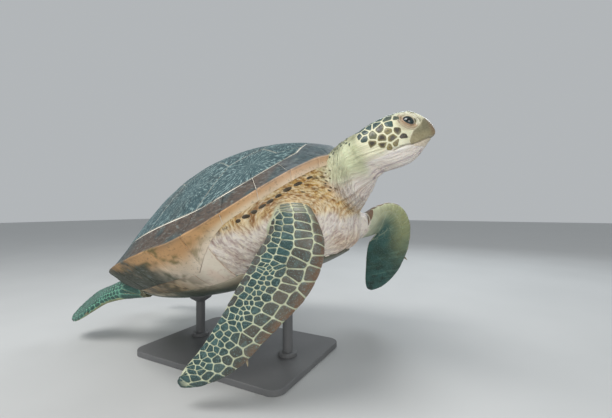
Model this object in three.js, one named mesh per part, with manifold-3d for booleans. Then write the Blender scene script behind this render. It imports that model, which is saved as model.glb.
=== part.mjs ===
// Green sea turtle (Chelonia mydas), life size, still, on a plain display stand.
// Millimetres, +Z up. The animal swims toward +X with its right side toward -Y.
import * as THREE from 'three';
import { mergeVertices } from 'three/addons/utils/BufferGeometryUtils.js';
import Module from 'manifold-3d';

const wasm = await Module();
wasm.setup();
const { Manifold, Mesh } = wasm;

// ---------------------------------------------------------------- driving sizes
const SHELL_LENGTH = 950;          // straight length of the carapace
const SHELL_WIDTH_GAIN = 0.822;    // with the two powers below: widest 0.79 of the length
const WIDTH_POWER_REAR = 0.62;
const WIDTH_POWER_FRONT = 0.46;
const CROWN_AT = 0.58;             // highest point of the dome, from the rear edge
const CROWN_HEIGHT = 0.275;        // above the rim's middle
const BELLY_DEPTH = 0.18;          // below the rim's middle
const FRONT_RIM_RISE = 0.13;       // the rim sweeps up over the neck
const FRONT_RIM_HEIGHT = 0.165;    // midline of the nuchal edge
const REAR_RIM_HEIGHT = -0.03;
const PLASTRON_REAR = 0.09;
const PLASTRON_FRONT = 0.94;
const RIND = 10;                   // thickness of scute and bone at the crown
const RIM_RIND = 22;               // plan depth of the shell at its edge
const SKIN_RECESS = 5;             // skin lies this far inside the shell's outline
const GAP = 0.6;                   // clear joint between neighbouring nodes
const SEAM = 0.6;                  // each scute stops this far short of its seam

const PITCH = 15;                  // degrees, nose up
const BANK = 1.5;                  // degrees, left side up
const BODY_LIFT = 253;             // height of the body frame's origin over the floor
const BODY_SHIFT_X = -500;         // puts the weight over the middle of the base

const BASE_LENGTH = 560;
const BASE_WIDTH = 400;
const BASE_THICK = 18;
const BASE_CORNER = 36;
const ROD_RADIUS = 16;
const COLLAR_RADIUS = 30;
const COLLAR_HEIGHT = 12;
const PAD_RADIUS = 42;
const PAD_THICK = 22;
const ROD_FRONT_AT = 0.70;         // share of the shell's length
const ROD_REAR_AT = 0.30;

const HEAD_CENTRE = new THREE.Vector3(1097, -65, 111);
const HEAD_AXIS = new THREE.Vector3(0.98, 0.18, 0.06).normalize();
const EYE_RADIUS = 17;
const EYE_AT = new THREE.Vector3(48.5, 32.5, 22.3);   // forward, sideways, up in the head's own frame
const MOUTH_LEVEL = -28.5;
const MOUTH_BACK = -4;

const L = SHELL_LENGTH;
const root = new THREE.Group();
root.name = 'green_sea_turtle';

// ---------------------------------------------------------------- helpers
const clamp = (v, a, b) => Math.min(b, Math.max(a, v));
const vec = (x, y, z) => new THREE.Vector3(x, y, z);

function solid(positions, indices) {
  let volume = 0;
  for (let i = 0; i < indices.length; i += 3) {
    const a = indices[i] * 3;
    const b = indices[i + 1] * 3;
    const c = indices[i + 2] * 3;
    const p = positions;
    volume += p[a] * (p[b + 1] * p[c + 2] - p[b + 2] * p[c + 1]);
    volume += p[a + 1] * (p[b + 2] * p[c] - p[b] * p[c + 2]);
    volume += p[a + 2] * (p[b] * p[c + 1] - p[b + 1] * p[c]);
  }
  if (volume < 0) {
    for (let i = 0; i < indices.length; i += 3) {
      const t = indices[i + 1];
      indices[i + 1] = indices[i + 2];
      indices[i + 2] = t;
    }
  }
  return new Manifold(new Mesh({
    numProp: 3,
    vertProperties: Float32Array.from(positions),
    triVerts: Uint32Array.from(indices),
  }));
}

// Closed body through rings of equal count, ending in two poles.
function loft(rings, tail, nose) {
  const n = rings[0].length;
  const pos = [tail.x, tail.y, tail.z];
  for (const ring of rings) {
    for (const p of ring) pos.push(p.x, p.y, p.z);
  }
  pos.push(nose.x, nose.y, nose.z);
  const last = 1 + rings.length * n;
  const idx = [];
  for (let j = 0; j < n; j++) {
    const k = (j + 1) % n;
    idx.push(0, 1 + k, 1 + j);
    for (let i = 0; i + 1 < rings.length; i++) {
      const a = 1 + i * n + j;
      const b = 1 + i * n + k;
      idx.push(a, b, b + n, a, b + n, a + n);
    }
    idx.push(last, last - n + j, last - n + k);
  }
  return solid(pos, idx);
}

function fromGeometry(geometry) {
  geometry.deleteAttribute('normal');
  geometry.deleteAttribute('uv');
  const g = mergeVertices(geometry, 1e-4);
  return solid(Array.from(g.attributes.position.array), Array.from(g.index.array));
}

// Upright prism over a plan outline, from z0 to z1.
function prism(outline, z0, z1) {
  const shape = new THREE.Shape(outline.map((p) => new THREE.Vector2(p[0], p[1])));
  const g = new THREE.ExtrudeGeometry(shape, { depth: z1 - z0, bevelEnabled: false });
  g.translate(0, 0, z0);
  return fromGeometry(g);
}

// Prism along Y over an outline in X and Z.
function sidePrism(outline, halfWidth) {
  const shape = new THREE.Shape(outline.map((p) => new THREE.Vector2(p[0], p[1])));
  const g = new THREE.ExtrudeGeometry(shape, { depth: 2 * halfWidth, bevelEnabled: false });
  g.translate(0, 0, -halfWidth);
  g.rotateX(Math.PI / 2);
  return fromGeometry(g);
}

// Moves every side of a plan outline inward by d.
function inset(outline, d) {
  let area = 0;
  const n = outline.length;
  for (let i = 0; i < n; i++) {
    const p = outline[i];
    const q = outline[(i + 1) % n];
    area += p[0] * q[1] - q[0] * p[1];
  }
  const turn = area > 0 ? 1 : -1;
  return outline.map((p, i) => {
    const a = outline[(i + n - 1) % n];
    const b = outline[(i + 1) % n];
    const u = new THREE.Vector2(p[0] - a[0], p[1] - a[1]).normalize();
    const w = new THREE.Vector2(b[0] - p[0], b[1] - p[1]).normalize();
    const nu = new THREE.Vector2(-u.y * turn, u.x * turn);
    const nw = new THREE.Vector2(-w.y * turn, w.x * turn);
    const m = nu.clone().add(nw).normalize();
    const k = d / Math.max(0.4, m.dot(nu));
    return [p[0] + m.x * k, p[1] + m.y * k];
  });
}

function placedBox(size, centre, xAxis, zAxis) {
  const x = xAxis.clone().normalize();
  const z = zAxis.clone().addScaledVector(x, -zAxis.dot(x)).normalize();
  const y = z.clone().cross(x);
  const m = new THREE.Matrix4().makeBasis(x, y, z).setPosition(centre);
  const g = new THREE.BoxGeometry(size[0], size[1], size[2]);
  g.applyMatrix4(m);
  return fromGeometry(g);
}

// ---------------------------------------------------------------- shell outline
const halfWidthAt = (s) => L * SHELL_WIDTH_GAIN
  * s ** WIDTH_POWER_REAR * (1 - s) ** WIDTH_POWER_FRONT;

const rimHeightAt = (s) => L * (REAR_RIM_HEIGHT + 0.04 * s
  + FRONT_RIM_RISE * clamp((s - 0.62) / 0.38, 0, 1) ** 1.7);

function crownHeightAt(s) {
  if (s < CROWN_AT) {
    const rise = Math.sin((Math.PI / 2) * (s / CROWN_AT)) ** 0.72;
    return L * (REAR_RIM_HEIGHT + (CROWN_HEIGHT - REAR_RIM_HEIGHT) * rise);
  }
  const fall = 1 - ((s - CROWN_AT) / (1 - CROWN_AT)) ** 2.3;
  return L * (FRONT_RIM_HEIGHT + (CROWN_HEIGHT - FRONT_RIM_HEIGHT) * fall);
}

function bellyHeightAt(s) {
  const flat = (q) => {
    const u = (q - PLASTRON_REAR) / (PLASTRON_FRONT - PLASTRON_REAR);
    return -BELLY_DEPTH * (1 - 0.45 * Math.abs((u - 0.55) / 0.55) ** 2.6);
  };
  if (s < PLASTRON_REAR) {
    const k = (PLASTRON_REAR - s) / PLASTRON_REAR;
    return L * (REAR_RIM_HEIGHT + (flat(PLASTRON_REAR) - REAR_RIM_HEIGHT) * Math.sqrt(1 - k * k));
  }
  if (s > PLASTRON_FRONT) {
    const k = (s - PLASTRON_FRONT) / (1 - PLASTRON_FRONT);
    const top = rimHeightAt(1) / L;
    return L * (top + (flat(PLASTRON_FRONT) - top) * Math.sqrt(Math.max(0, 1 - k * k)));
  }
  return L * flat(s);
}

const domeShape = (t) => (1 - Math.abs(t) ** 1.7) ** 1.3;
const bellyShape = (t) => (1 - Math.abs(t) ** 3.2) ** 1.1;

// The whole shell and trunk as one body, shrunk by `edge` in plan and `skin` in height.
function hull(edge, skin, stations, above, below) {
  const rings = [];
  for (let i = 1; i < stations; i++) {
    const s = (1 - Math.cos((Math.PI * i) / stations)) / 2;
    const x = edge + s * (L - 2 * edge);
    const w = halfWidthAt(s) * (1 - (edge / L) * 2.55);
    const zr = rimHeightAt(s);
    const zc = Math.max(crownHeightAt(s) - skin, zr + 1);
    const zb = Math.min(bellyHeightAt(s) + skin, zr - 1);
    const ring = [];
    for (let j = 0; j < above; j++) {
      const t = Math.cos((Math.PI * j) / above);
      ring.push(vec(x, -w * t, zr + (zc - zr) * domeShape(t)));
    }
    for (let j = 0; j < below; j++) {
      const t = -Math.cos((Math.PI * j) / below);
      ring.push(vec(x, -w * t, zr + (zb - zr) * bellyShape(t)));
    }
    rings.push(ring);
  }
  const tail = vec(edge, 0, rimHeightAt(0));
  const nose = vec(L - edge, 0, rimHeightAt(1));
  return loft(rings, tail, nose);
}

const outer = hull(0, 0, 18, 12, 8);
const outerGrown = hull(-GAP, -GAP, 18, 12, 8);
const innerGap = hull(RIM_RIND - GAP, RIND - GAP, 10, 6, 4);
const inner = hull(RIM_RIND, RIND, 10, 6, 4);
const rind = outer.subtract(innerGap);

// ---------------------------------------------------------------- scute plan
// Seam between costals and marginals: the outline drawn in about the shell's middle.
const SEAM_ALONG = 0.86;
const SEAM_ACROSS = 0.78;
function seamHalfWidth(x) {
  const s = clamp((x - 0.5) / SEAM_ALONG + 0.5, 0, 1);
  return (halfWidthAt(s) / L) * SEAM_ACROSS;
}
const RING_REAR = 0.10;
const RING_FRONT = 0.905;

const VERTEBRAL_SEAM = [RING_FRONT, 0.775, 0.59, 0.40, 0.23];   // front to rear
const VERTEBRAL_SEAM_HALF = [0.085, 0.085, 0.088, 0.085, 0.08];
const VERTEBRAL_KINK = [0.845, 0.685, 0.495, 0.315, 0.165];
const VERTEBRAL_KINK_HALF = [0.13, 0.155, 0.155, 0.145, 0.125];
const LAST_COSTAL_END = 0.15;
const COSTAL_FOOT = [0.66, 0.455, 0.265];       // where costal seams reach the marginals

// One polyline serves every plate that meets at this seam.
const seamGrid = [];
const seamStops = [RING_REAR, LAST_COSTAL_END, ...COSTAL_FOOT.slice().reverse(), RING_FRONT];
const seamSteps = [2, 2, 3, 3, 6];
seamSteps.forEach((steps, k) => {
  for (let i = 0; i < steps; i++) {
    seamGrid.push(seamStops[k] + ((seamStops[k + 1] - seamStops[k]) * i) / steps);
  }
});
seamGrid.push(RING_FRONT);

function seamOnGrid(x) {
  const k = clamp(seamGrid.findIndex((g) => g > x - 1e-9), 1, seamGrid.length - 1);
  const a = seamGrid[k - 1];
  const b = seamGrid[k];
  const f = (x - a) / (b - a);
  return seamHalfWidth(a) * (1 - f) + seamHalfWidth(b) * f;
}

function seamRun(x0, x1) {
  const between = seamGrid.filter((x) => x > x0 + 1e-6 && x < x1 - 1e-6);
  return [x0, ...between, x1].map((x) => [x, seamOnGrid(x)]);
}
const scale = (pts, side = 1) => pts.map(([x, y]) => [x * L, side * y * L]);

function scutePiece(outline, region) {
  return rind.intersect(prism(inset(outline, SEAM), -400, 500)).intersect(region);
}

function aboveProfile(height, offset) {
  const line = [];
  for (let i = 0; i <= 14; i++) {
    const s = i / 14;
    line.push([s * L, height(s) + offset]);
  }
  return [[-80, line[0][1]], ...line, [L + 80, line[14][1]]];
}
const rimLine = aboveProfile(rimHeightAt, 0);
const overRim = sidePrism([...rimLine, [L + 80, 700], [-80, 700]], 500);
const underRim = sidePrism([[-80, -500], [L + 80, -500], ...rimLine.slice().reverse()], 500);

const nodes = {};
for (let i = 0; i < 5; i++) {
  const front = VERTEBRAL_SEAM[i];
  const half = [[front, VERTEBRAL_SEAM_HALF[i]], [VERTEBRAL_KINK[i], VERTEBRAL_KINK_HALF[i]]];
  if (i < 4) {
    half.push([VERTEBRAL_SEAM[i + 1], VERTEBRAL_SEAM_HALF[i + 1]]);
  } else {
    half.push(...seamRun(RING_REAR, LAST_COSTAL_END).reverse());
  }
  const outline = [...half, ...half.map(([x, y]) => [x, -y]).reverse()];
  nodes[`vertebral_${i + 1}`] = scutePiece(scale(outline), overRim);
}

for (const [name, side] of [['right', -1], ['left', 1]]) {
  for (let i = 0; i < 4; i++) {
    const footFront = i === 0 ? RING_FRONT : COSTAL_FOOT[i - 1];
    const footRear = i === 3 ? LAST_COSTAL_END : COSTAL_FOOT[i];
    const pts = [];
    if (i === 0) pts.push([RING_FRONT, VERTEBRAL_SEAM_HALF[0]]);
    pts.push([VERTEBRAL_KINK[i], VERTEBRAL_KINK_HALF[i]]);
    pts.push([VERTEBRAL_SEAM[i + 1], VERTEBRAL_SEAM_HALF[i + 1]]);
    pts.push([VERTEBRAL_KINK[i + 1], VERTEBRAL_KINK_HALF[i + 1]]);
    const outline = [...pts, ...seamRun(footRear, footFront)];
    nodes[`costal_${name}_${i + 1}`] = scutePiece(scale(outline, side), overRim);
  }
}

// Marginal ring: everything outside the seam, down to a lip under the rim.
const lipDepth = (s) => L * (0.025
  + 0.08 * Math.min(clamp((0.78 - s) / 0.16, 0, 1), clamp((s - 0.12) / 0.22, 0, 1)));
const lipHeight = (s) => rimHeightAt(s) - lipDepth(s);
const lipLine = aboveProfile(lipHeight, 0);
const lipLineLow = aboveProfile(lipHeight, -GAP);
const overLip = sidePrism([...lipLine, [L + 80, 700], [-80, 700]], 500);
const overLipGrown = sidePrism([...lipLineLow, [L + 80, 700], [-80, 700]], 500);

function seamLoop(grow) {
  const half = seamRun(RING_REAR, RING_FRONT).map(([x, y]) => [x * L, y * L]);
  const loop = [...half, ...half.slice().reverse().map(([x, y]) => [x, -y])];
  return inset(loop, grow);
}
const ringHole = prism(seamLoop(-SEAM), -600, 800);
const ringHoleSmall = prism(seamLoop(SEAM + GAP), -600, 800);
const ringSolid = rind.intersect(overLip).subtract(ringHole);
const NUCHAL_HALF = 0.1;
const nuchalPlan = [[0.88, -0.07], [1.05, -NUCHAL_HALF], [1.05, NUCHAL_HALF], [0.88, 0.07]];
const nuchalBox = prism(inset(scale(nuchalPlan), SEAM), -500, 700);
const nuchalBoxGrown = prism(inset(scale(nuchalPlan), -SEAM), -500, 700);
nodes.nuchal = ringSolid.intersect(nuchalBox);
const ringSides = ringSolid.subtract(nuchalBoxGrown);
const rightHalf = prism([[-100, -600], [1100, -600], [1100, -SEAM], [-100, -SEAM]], -600, 800);
const leftHalf = prism([[-100, SEAM], [1100, SEAM], [1100, 600], [-100, 600]], -600, 800);
nodes.marginals_right = ringSides.intersect(rightHalf);
nodes.marginals_left = ringSides.intersect(leftHalf);

// Plastron halves, and the bridge plates that tie them to the marginals.
function plastronHalf(x) {
  const u = clamp((x - PLASTRON_REAR) / (PLASTRON_FRONT - 0.01 - PLASTRON_REAR), 0, 1);
  return 0.248 * (1 - Math.abs(2 * u - 1.06) ** 3.2 * 0.8) ** 0.8 * Math.min(1, Math.sqrt(8 * u + 0.05))
    * Math.min(1, Math.sqrt(9 * (1 - u) + 0.03));
}
function plastronRun(x0, x1, steps) {
  const run = [];
  for (let i = 0; i <= steps; i++) {
    const x = x0 + ((x1 - x0) * i) / steps;
    run.push([x * L, plastronHalf(x) * L]);
  }
  return run;
}
const BRIDGE_REAR = 0.33;
const BRIDGE_FRONT = 0.70;
const plastronSpan = plastronRun(PLASTRON_REAR, PLASTRON_FRONT - 0.01, 14);
const bellyCutters = [];
for (const [name, side] of [['right', -1], ['left', 1]]) {
  const half = plastronSpan.map(([x, y]) => [x, side * y]);
  const outline = [[half[0][0], 0], ...half, [half[half.length - 1][0], 0]];
  const plate = prism(inset(outline, SEAM), -500, 500);
  nodes[`plastron_${name}`] = rind.intersect(plate).intersect(underRim);
  bellyCutters.push(prism(inset(outline, -GAP), -500, 500));
  const innerEdge = plastronRun(BRIDGE_REAR, BRIDGE_FRONT, 5).map(([x, y]) => [x, side * y]);
  const outerEdge = seamRun(BRIDGE_REAR - 0.02, BRIDGE_FRONT + 0.01)
    .map(([x, y]) => [x * L, side * y * L]);
  const strap = [...innerEdge, ...outerEdge.reverse()];
  nodes[`bridge_${name}`] = rind.intersect(prism(inset(strap, SEAM), -500, 500)).intersect(underRim);
  bellyCutters.push(prism(inset(strap, -GAP), -500, 500));
}

// Where the shell lies, flesh gives way.
const shellSpace = outerGrown.subtract(inner);
const bellyArmour = shellSpace.intersect(Manifold.union(bellyCutters)).intersect(underRim);
const ringArmour = shellSpace.intersect(overLipGrown).subtract(ringHoleSmall);
const topArmour = shellSpace.intersect(overRim);
const armour = Manifold.union([bellyArmour, ringArmour, topArmour]);

// ---------------------------------------------------------------- flesh
function ovalRing(centre, side, up, a, b, count, power = 2) {
  const ring = [];
  for (let j = 0; j < count; j++) {
    const f = (2 * Math.PI * j) / count;
    const c = Math.cos(f);
    const s = Math.sin(f);
    const q = (Math.abs(c) ** power + Math.abs(s) ** power) ** (-1 / power);
    ring.push(centre.clone().addScaledVector(side, a * c * q).addScaledVector(up, b * s * q));
  }
  return ring;
}

// Tube through stations [x, y, z, half width, half height].
function ovalTube(stations, count, steps, power = 2) {
  const path = new THREE.CatmullRomCurve3(stations.map((p) => vec(p[0], p[1], p[2])));
  const size = new THREE.CatmullRomCurve3(stations.map((p) => vec(p[3], p[4], 0)));
  const rings = [];
  for (let i = 0; i <= steps; i++) {
    const u = i / steps;
    const t = path.getTangent(u);
    const side = vec(0, 0, 1).cross(t).normalize();
    const up = t.clone().cross(side).normalize();
    const r = size.getPoint(u);
    rings.push(ovalRing(path.getPoint(u), side, up, r.x, r.y, count, power));
  }
  return loft(rings, path.getPoint(0), path.getPoint(1));
}

// Blade through stations {lead, trail, thick}: round in front, thin behind.
function blade(stations, steps, count) {
  const lead = new THREE.CatmullRomCurve3(stations.map((s) => vec(...s.lead)));
  const trail = new THREE.CatmullRomCurve3(stations.map((s) => vec(...s.trail)));
  const thick = new THREE.CatmullRomCurve3(stations.map((s, i) => vec(s.thick, i * 10, 0)));
  const rings = [];
  for (let i = 0; i <= steps; i++) {
    const u = i / steps;
    const a = lead.getPoint(u);
    const b = trail.getPoint(u);
    const mid = a.clone().add(b).multiplyScalar(0.5);
    const chord = a.clone().sub(b).multiplyScalar(0.5);
    const run = lead.getPoint(Math.min(1, u + 0.03)).add(trail.getPoint(Math.min(1, u + 0.03)))
      .sub(lead.getPoint(Math.max(0, u - 0.03))).sub(trail.getPoint(Math.max(0, u - 0.03)));
    const normal = run.cross(chord).normalize();
    const h = thick.getPoint(u).x;
    const ring = [];
    for (let j = 0; j < count; j++) {
      const f = (2 * Math.PI * j) / count;
      const taper = 0.72 + 0.3 * Math.cos(f);
      const p = mid.clone().addScaledVector(chord, Math.cos(f));
      ring.push(p.addScaledVector(normal, h * Math.sin(f) * taper));
    }
    rings.push(ring);
  }
  return loft(rings, lead.getPoint(0).lerp(trail.getPoint(0), 0.5),
    lead.getPoint(1).lerp(trail.getPoint(1), 0.5));
}

const trunkBody = hull(SKIN_RECESS, SKIN_RECESS, 14, 4, 6);

const neckTube = ovalTube([
  [820, 0, 8, 140, 92],
  [880, -15, 34, 112, 90],
  [940, -36, 62, 92, 79],
  [975, -47, 83, 79, 73],
  [1010, -60, 97, 66, 66],
  [1050, -70, 104, 58, 58],
], 14, 7);

// Right fore flipper: blade hanging back and down, its upper side outward.
const foreRight = blade([
  { lead: [900, -195, -5], trail: [800, -215, 20], thick: 46 },
  { lead: [915, -207, -38], trail: [808, -236, -16], thick: 42 },
  { lead: [925, -223, -92], trail: [795, -259, -50], thick: 33 },
  { lead: [905, -234, -147], trail: [768, -272, -78], thick: 26 },
  { lead: [857, -252, -203], trail: [744, -281, -106], thick: 21 },
  { lead: [800, -271, -242], trail: [705, -296, -148], thick: 17 },
  { lead: [744, -290, -278], trail: [664, -309, -194], thick: 14 },
  { lead: [694, -303, -312], trail: [626, -319, -231], thick: 11.5 },
  { lead: [638, -317, -335], trail: [581, -331, -270], thick: 9 },
  { lead: [576, -338, -345], trail: [544, -348, -300], thick: 6.5 },
  { lead: [532, -352, -341], trail: [522, -354, -326], thick: 4 },
], 13, 10);
const shoulderRight = ovalTube([
  [700, -105, 0, 85, 80],
  [770, -150, -8, 88, 78],
  [825, -188, -16, 72, 62],
  [856, -212, -24, 48, 40],
], 10, 3);

// Left fore flipper: arm reaching forward, wrist bent, blade hanging down.
const foreLeft = blade([
  { lead: [846, 228, -20], trail: [796, 246, -106], thick: 44 },
  { lead: [878, 267, -28], trail: [834, 286, -110], thick: 36 },
  { lead: [910, 303, -14], trail: [858, 328, -110], thick: 30 },
  { lead: [947, 343, -8], trail: [872, 358, -108], thick: 26 },
  { lead: [981, 377, -32], trail: [854, 370, -119], thick: 23 },
  { lead: [990, 410, -96], trail: [822, 378, -138], thick: 19 },
  { lead: [957, 444, -180], trail: [793, 401, -180], thick: 15.5 },
  { lead: [905, 474, -250], trail: [766, 428, -232], thick: 12 },
  { lead: [840, 489, -304], trail: [742, 453, -280], thick: 9 },
  { lead: [785, 497, -331], trail: [730, 473, -310], thick: 6 },
  { lead: [742, 497, -338], trail: [727, 489, -328], thick: 4 },
], 13, 10);
const shoulderLeft = ovalTube([
  [690, 105, 0, 85, 80],
  [755, 155, -15, 86, 74],
  [808, 205, -45, 66, 60],
  [850, 262, -66, 47, 44],
], 10, 3);

// Hind flippers: short shank, broad paddle trailing flat behind.
function hindFlipper(side) {
  const centre = [
    [0.20, 0.115, -0.085, 0.060, 46],
    [0.13, 0.148, -0.080, 0.052, 38],
    [0.07, 0.172, -0.084, 0.043, 29],
    [0.02, 0.182, -0.090, 0.042, 21],
    [-0.03, 0.189, -0.100, 0.054, 15],
    [-0.08, 0.195, -0.111, 0.062, 11],
    [-0.125, 0.200, -0.123, 0.054, 8],
    [-0.157, 0.204, -0.131, 0.034, 6],
    [-0.172, 0.206, -0.135, 0.010, 4],
  ];
  const lateral = vec(0.10, 0.74, -0.66).normalize();
  const stations = centre.map(([x, y, z, half, thick]) => {
    const c = vec(x * L, side * y * L, z * L);
    const d = vec(lateral.x, side * lateral.y, lateral.z).multiplyScalar(half * L);
    return { lead: c.clone().add(d).toArray(), trail: c.clone().sub(d).toArray(), thick };
  });
  return blade(stations, 11, 10);
}
const hindRight = hindFlipper(-1);
const hindLeft = hindFlipper(1);

const tailTube = ovalTube([
  [120, 0, -85, 42, 26],
  [40, 0, -80, 30, 20],
  [-20, 0, -84, 18, 14],
  [-62, 0, -94, 6, 5],
], 10, 5);

// ---------------------------------------------------------------- head
const headLeft = vec(0, 0, 1).cross(HEAD_AXIS).normalize();
const headUp = HEAD_AXIS.clone().cross(headLeft).normalize();
const headFrame = new THREE.Matrix4().makeBasis(HEAD_AXIS, headLeft, headUp)
  .setPosition(HEAD_CENTRE);
const inHead = (s, l, n) => vec(s, l, n).applyMatrix4(headFrame);

// forward, crown, chin, half width
const HEAD_PROFILE = [
  [-92, 40, -44, 52],
  [-62, 52, -55, 60],
  [-30, 59, -64, 65],
  [0, 61.5, -66.5, 66],
  [25, 61, -64.5, 61],
  [45, 58.5, -57.5, 53],
  [62, 53, -46, 44],
  [76, 42, -34, 35],
  [88, 28, -26, 25.5],
  [96, 14, -21, 15],
  [100.5, 2, -16, 7],
];
const headRows = new THREE.CatmullRomCurve3(HEAD_PROFILE.map((p) => vec(p[0], p[1], p[2])));
const headWidths = new THREE.CatmullRomCurve3(HEAD_PROFILE.map((p) => vec(p[0], p[3], 0)));
const headRings = [];
for (let i = 0; i <= 13; i++) {
  const p = headRows.getPoint(i / 13);
  const w = headWidths.getPoint(i / 13).y;
  const centre = inHead(p.x, 0, (p.y + p.z) / 2);
  headRings.push(ovalRing(centre, headLeft, headUp, w, (p.y - p.z) / 2, 16, 2.25));
}
const headBody = loft(headRings, inHead(-97, 0, -2), inHead(101.5, 0, -8));

const eyeBall = (side, grow) => {
  const g = new THREE.SphereGeometry(EYE_RADIUS + grow, 12, 8);
  const p = inHead(EYE_AT.x, side * EYE_AT.y, EYE_AT.z);
  g.translate(p.x, p.y, p.z);
  return fromGeometry(g);
};
nodes.eye_right = eyeBall(-1, 0);
nodes.eye_left = eyeBall(1, 0);

// ---------------------------------------------------------------- claws
function claw(base, aim, length, radius, grow) {
  const g = new THREE.CylinderGeometry(0.6 + grow, radius + grow, length + grow * 2, 9, 1);
  const q = new THREE.Quaternion().setFromUnitVectors(vec(0, 1, 0), aim.clone().normalize());
  g.applyQuaternion(q);
  const p = base.clone().addScaledVector(aim.clone().normalize(), length / 2);
  g.translate(p.x, p.y, p.z);
  return fromGeometry(g);
}
const CLAWS = {
  claw_fore_right: [vec(699, -301, -303), vec(0.25, -0.10, -0.96), 22, 4.6],
  claw_fore_left: [vec(922, 463, -228), vec(0.55, 0.30, -0.72), 20, 4.4],
  claw_hind_right: [vec(-32, -224, -130), vec(-0.45, -0.62, -0.55), 15, 3.2],
  claw_hind_left: [vec(-32, 224, -130), vec(-0.45, 0.62, -0.55), 15, 3.2],
};
const sockets = [eyeBall(-1, GAP), eyeBall(1, GAP)];
for (const [name, spec] of Object.entries(CLAWS)) {
  nodes[name] = claw(...spec, 0);
  sockets.push(claw(...spec, GAP));
}

// ---------------------------------------------------------------- thin cuts
let flesh = Manifold.union([
  inner, trunkBody, neckTube, foreRight, shoulderRight, foreLeft, shoulderLeft,
  hindRight, hindLeft, tailTube, headBody,
]);
flesh = flesh.subtract(armour).subtract(Manifold.union(sockets));

const CUTS = [
  // width, depth, centre, direction across the limb, direction along the limb
  [270, 270, vec(944, -38, 64), vec(0, 1, 0), vec(0.93, -0.22, 0.28)],
  [270, 270, inHead(-72, 0, 0), vec(0, 1, 0), HEAD_AXIS],
  [210, 150, vec(853, -247, -82), vec(0.94, 0.24, -0.24), vec(-0.10, -0.42, -0.90)],
  [190, 120, vec(724, -296, -213), vec(0.72, 0.18, -0.67), vec(-0.70, -0.24, -0.66)],
  [150, 130, vec(866, 292, -66), vec(0.5, -0.3, 0.8), vec(0.62, 0.78, 0.08)],
  [210, 100, vec(917, 374, -76), vec(127, 7, 87), vec(0.38, 0.70, -0.61)],
  [150, 130, vec(60, -166, -80), vec(0, 0.74, 0.66), vec(-0.97, -0.15, -0.14)],
  [170, 110, vec(2, -178, -90), vec(0, 0.74, 0.66), vec(-0.96, -0.12, -0.18)],
  [150, 130, vec(60, 166, -80), vec(0, 0.74, -0.66), vec(-0.97, 0.15, -0.14)],
  [170, 110, vec(2, 178, -90), vec(0, 0.74, -0.66), vec(-0.96, 0.12, -0.18)],
  [110, 90, vec(26, 0, -80), vec(0, 1, 0), vec(-1, 0, -0.05)],
];
const knives = CUTS.map(([a, b, centre, across, along]) => {
  const x = along.clone().normalize();
  const z = across.clone().normalize();
  return placedBox([GAP, b, a], centre, x, z);
});
// Mouth: one slit along the gape, turned down behind the jaw hinge.
const headKnife = (size, s, n, tilt) => {
  const g = new THREE.BoxGeometry(...size);
  g.rotateY(THREE.MathUtils.degToRad(-tilt));
  g.translate(s, 0, n);
  g.applyMatrix4(headFrame);
  return fromGeometry(g);
};
knives.push(headKnife([130, 180, 0.8], MOUTH_BACK + 65, MOUTH_LEVEL, 3.5));
knives.push(headKnife([0.8, 180, 100], MOUTH_BACK + 0.4, MOUTH_LEVEL - 52, 0));
knives.push(headKnife([120, 180, GAP], 60, -2, 45));
knives.push(headKnife([100, 180, GAP], 66, -38, -8));
flesh = flesh.subtract(Manifold.union(knives));

// Name each loose piece by the landmark that it holds.
const LANDMARKS = {
  trunk: vec(500, 0, 0),
  neck: vec(985, -50, 88),
  head: inHead(-20, 0, 20),
  jaw_lower: inHead(20, 0, -50),
  beak_upper: inHead(80, 0, -12),
  beak_lower: inHead(80, 0, -29),
  fore_right_arm: vec(820, -258, -130),
  fore_right_hand: vec(650, -312, -262),
  fore_left_arm: vec(888, 330, -62),
  fore_left_hand: vec(870, 425, -190),
  hind_right_leg: vec(30, -171, -83),
  hind_right_paddle: vec(-70, -185, -104),
  hind_left_leg: vec(30, 171, -83),
  hind_left_paddle: vec(-70, 185, -104),
  tail: vec(-5, 0, -82),
};
const loose = flesh.decompose();
const PROBE_RADIUS = 1.5;
for (const [name, p] of Object.entries(LANDMARKS)) {
  const ball = new THREE.SphereGeometry(PROBE_RADIUS, 8, 6);
  ball.translate(p.x, p.y, p.z);
  const probe = fromGeometry(ball);
  let best = null;
  let most = 0;
  for (const piece of loose) {
    const shared = piece.intersect(probe).volume();
    if (shared > most) {
      most = shared;
      best = piece;
    }
  }
  if (best) nodes[name] = best;
}

// ---------------------------------------------------------------- pose on the stand
const pose = new THREE.Matrix4().makeRotationFromEuler(new THREE.Euler(
  THREE.MathUtils.degToRad(BANK), THREE.MathUtils.degToRad(-PITCH), 0, 'YXZ'));
pose.setPosition(BODY_SHIFT_X, 0, BODY_LIFT);
const posed = {};
for (const [name, body] of Object.entries(nodes)) posed[name] = body.transform(pose.toArray());

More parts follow.
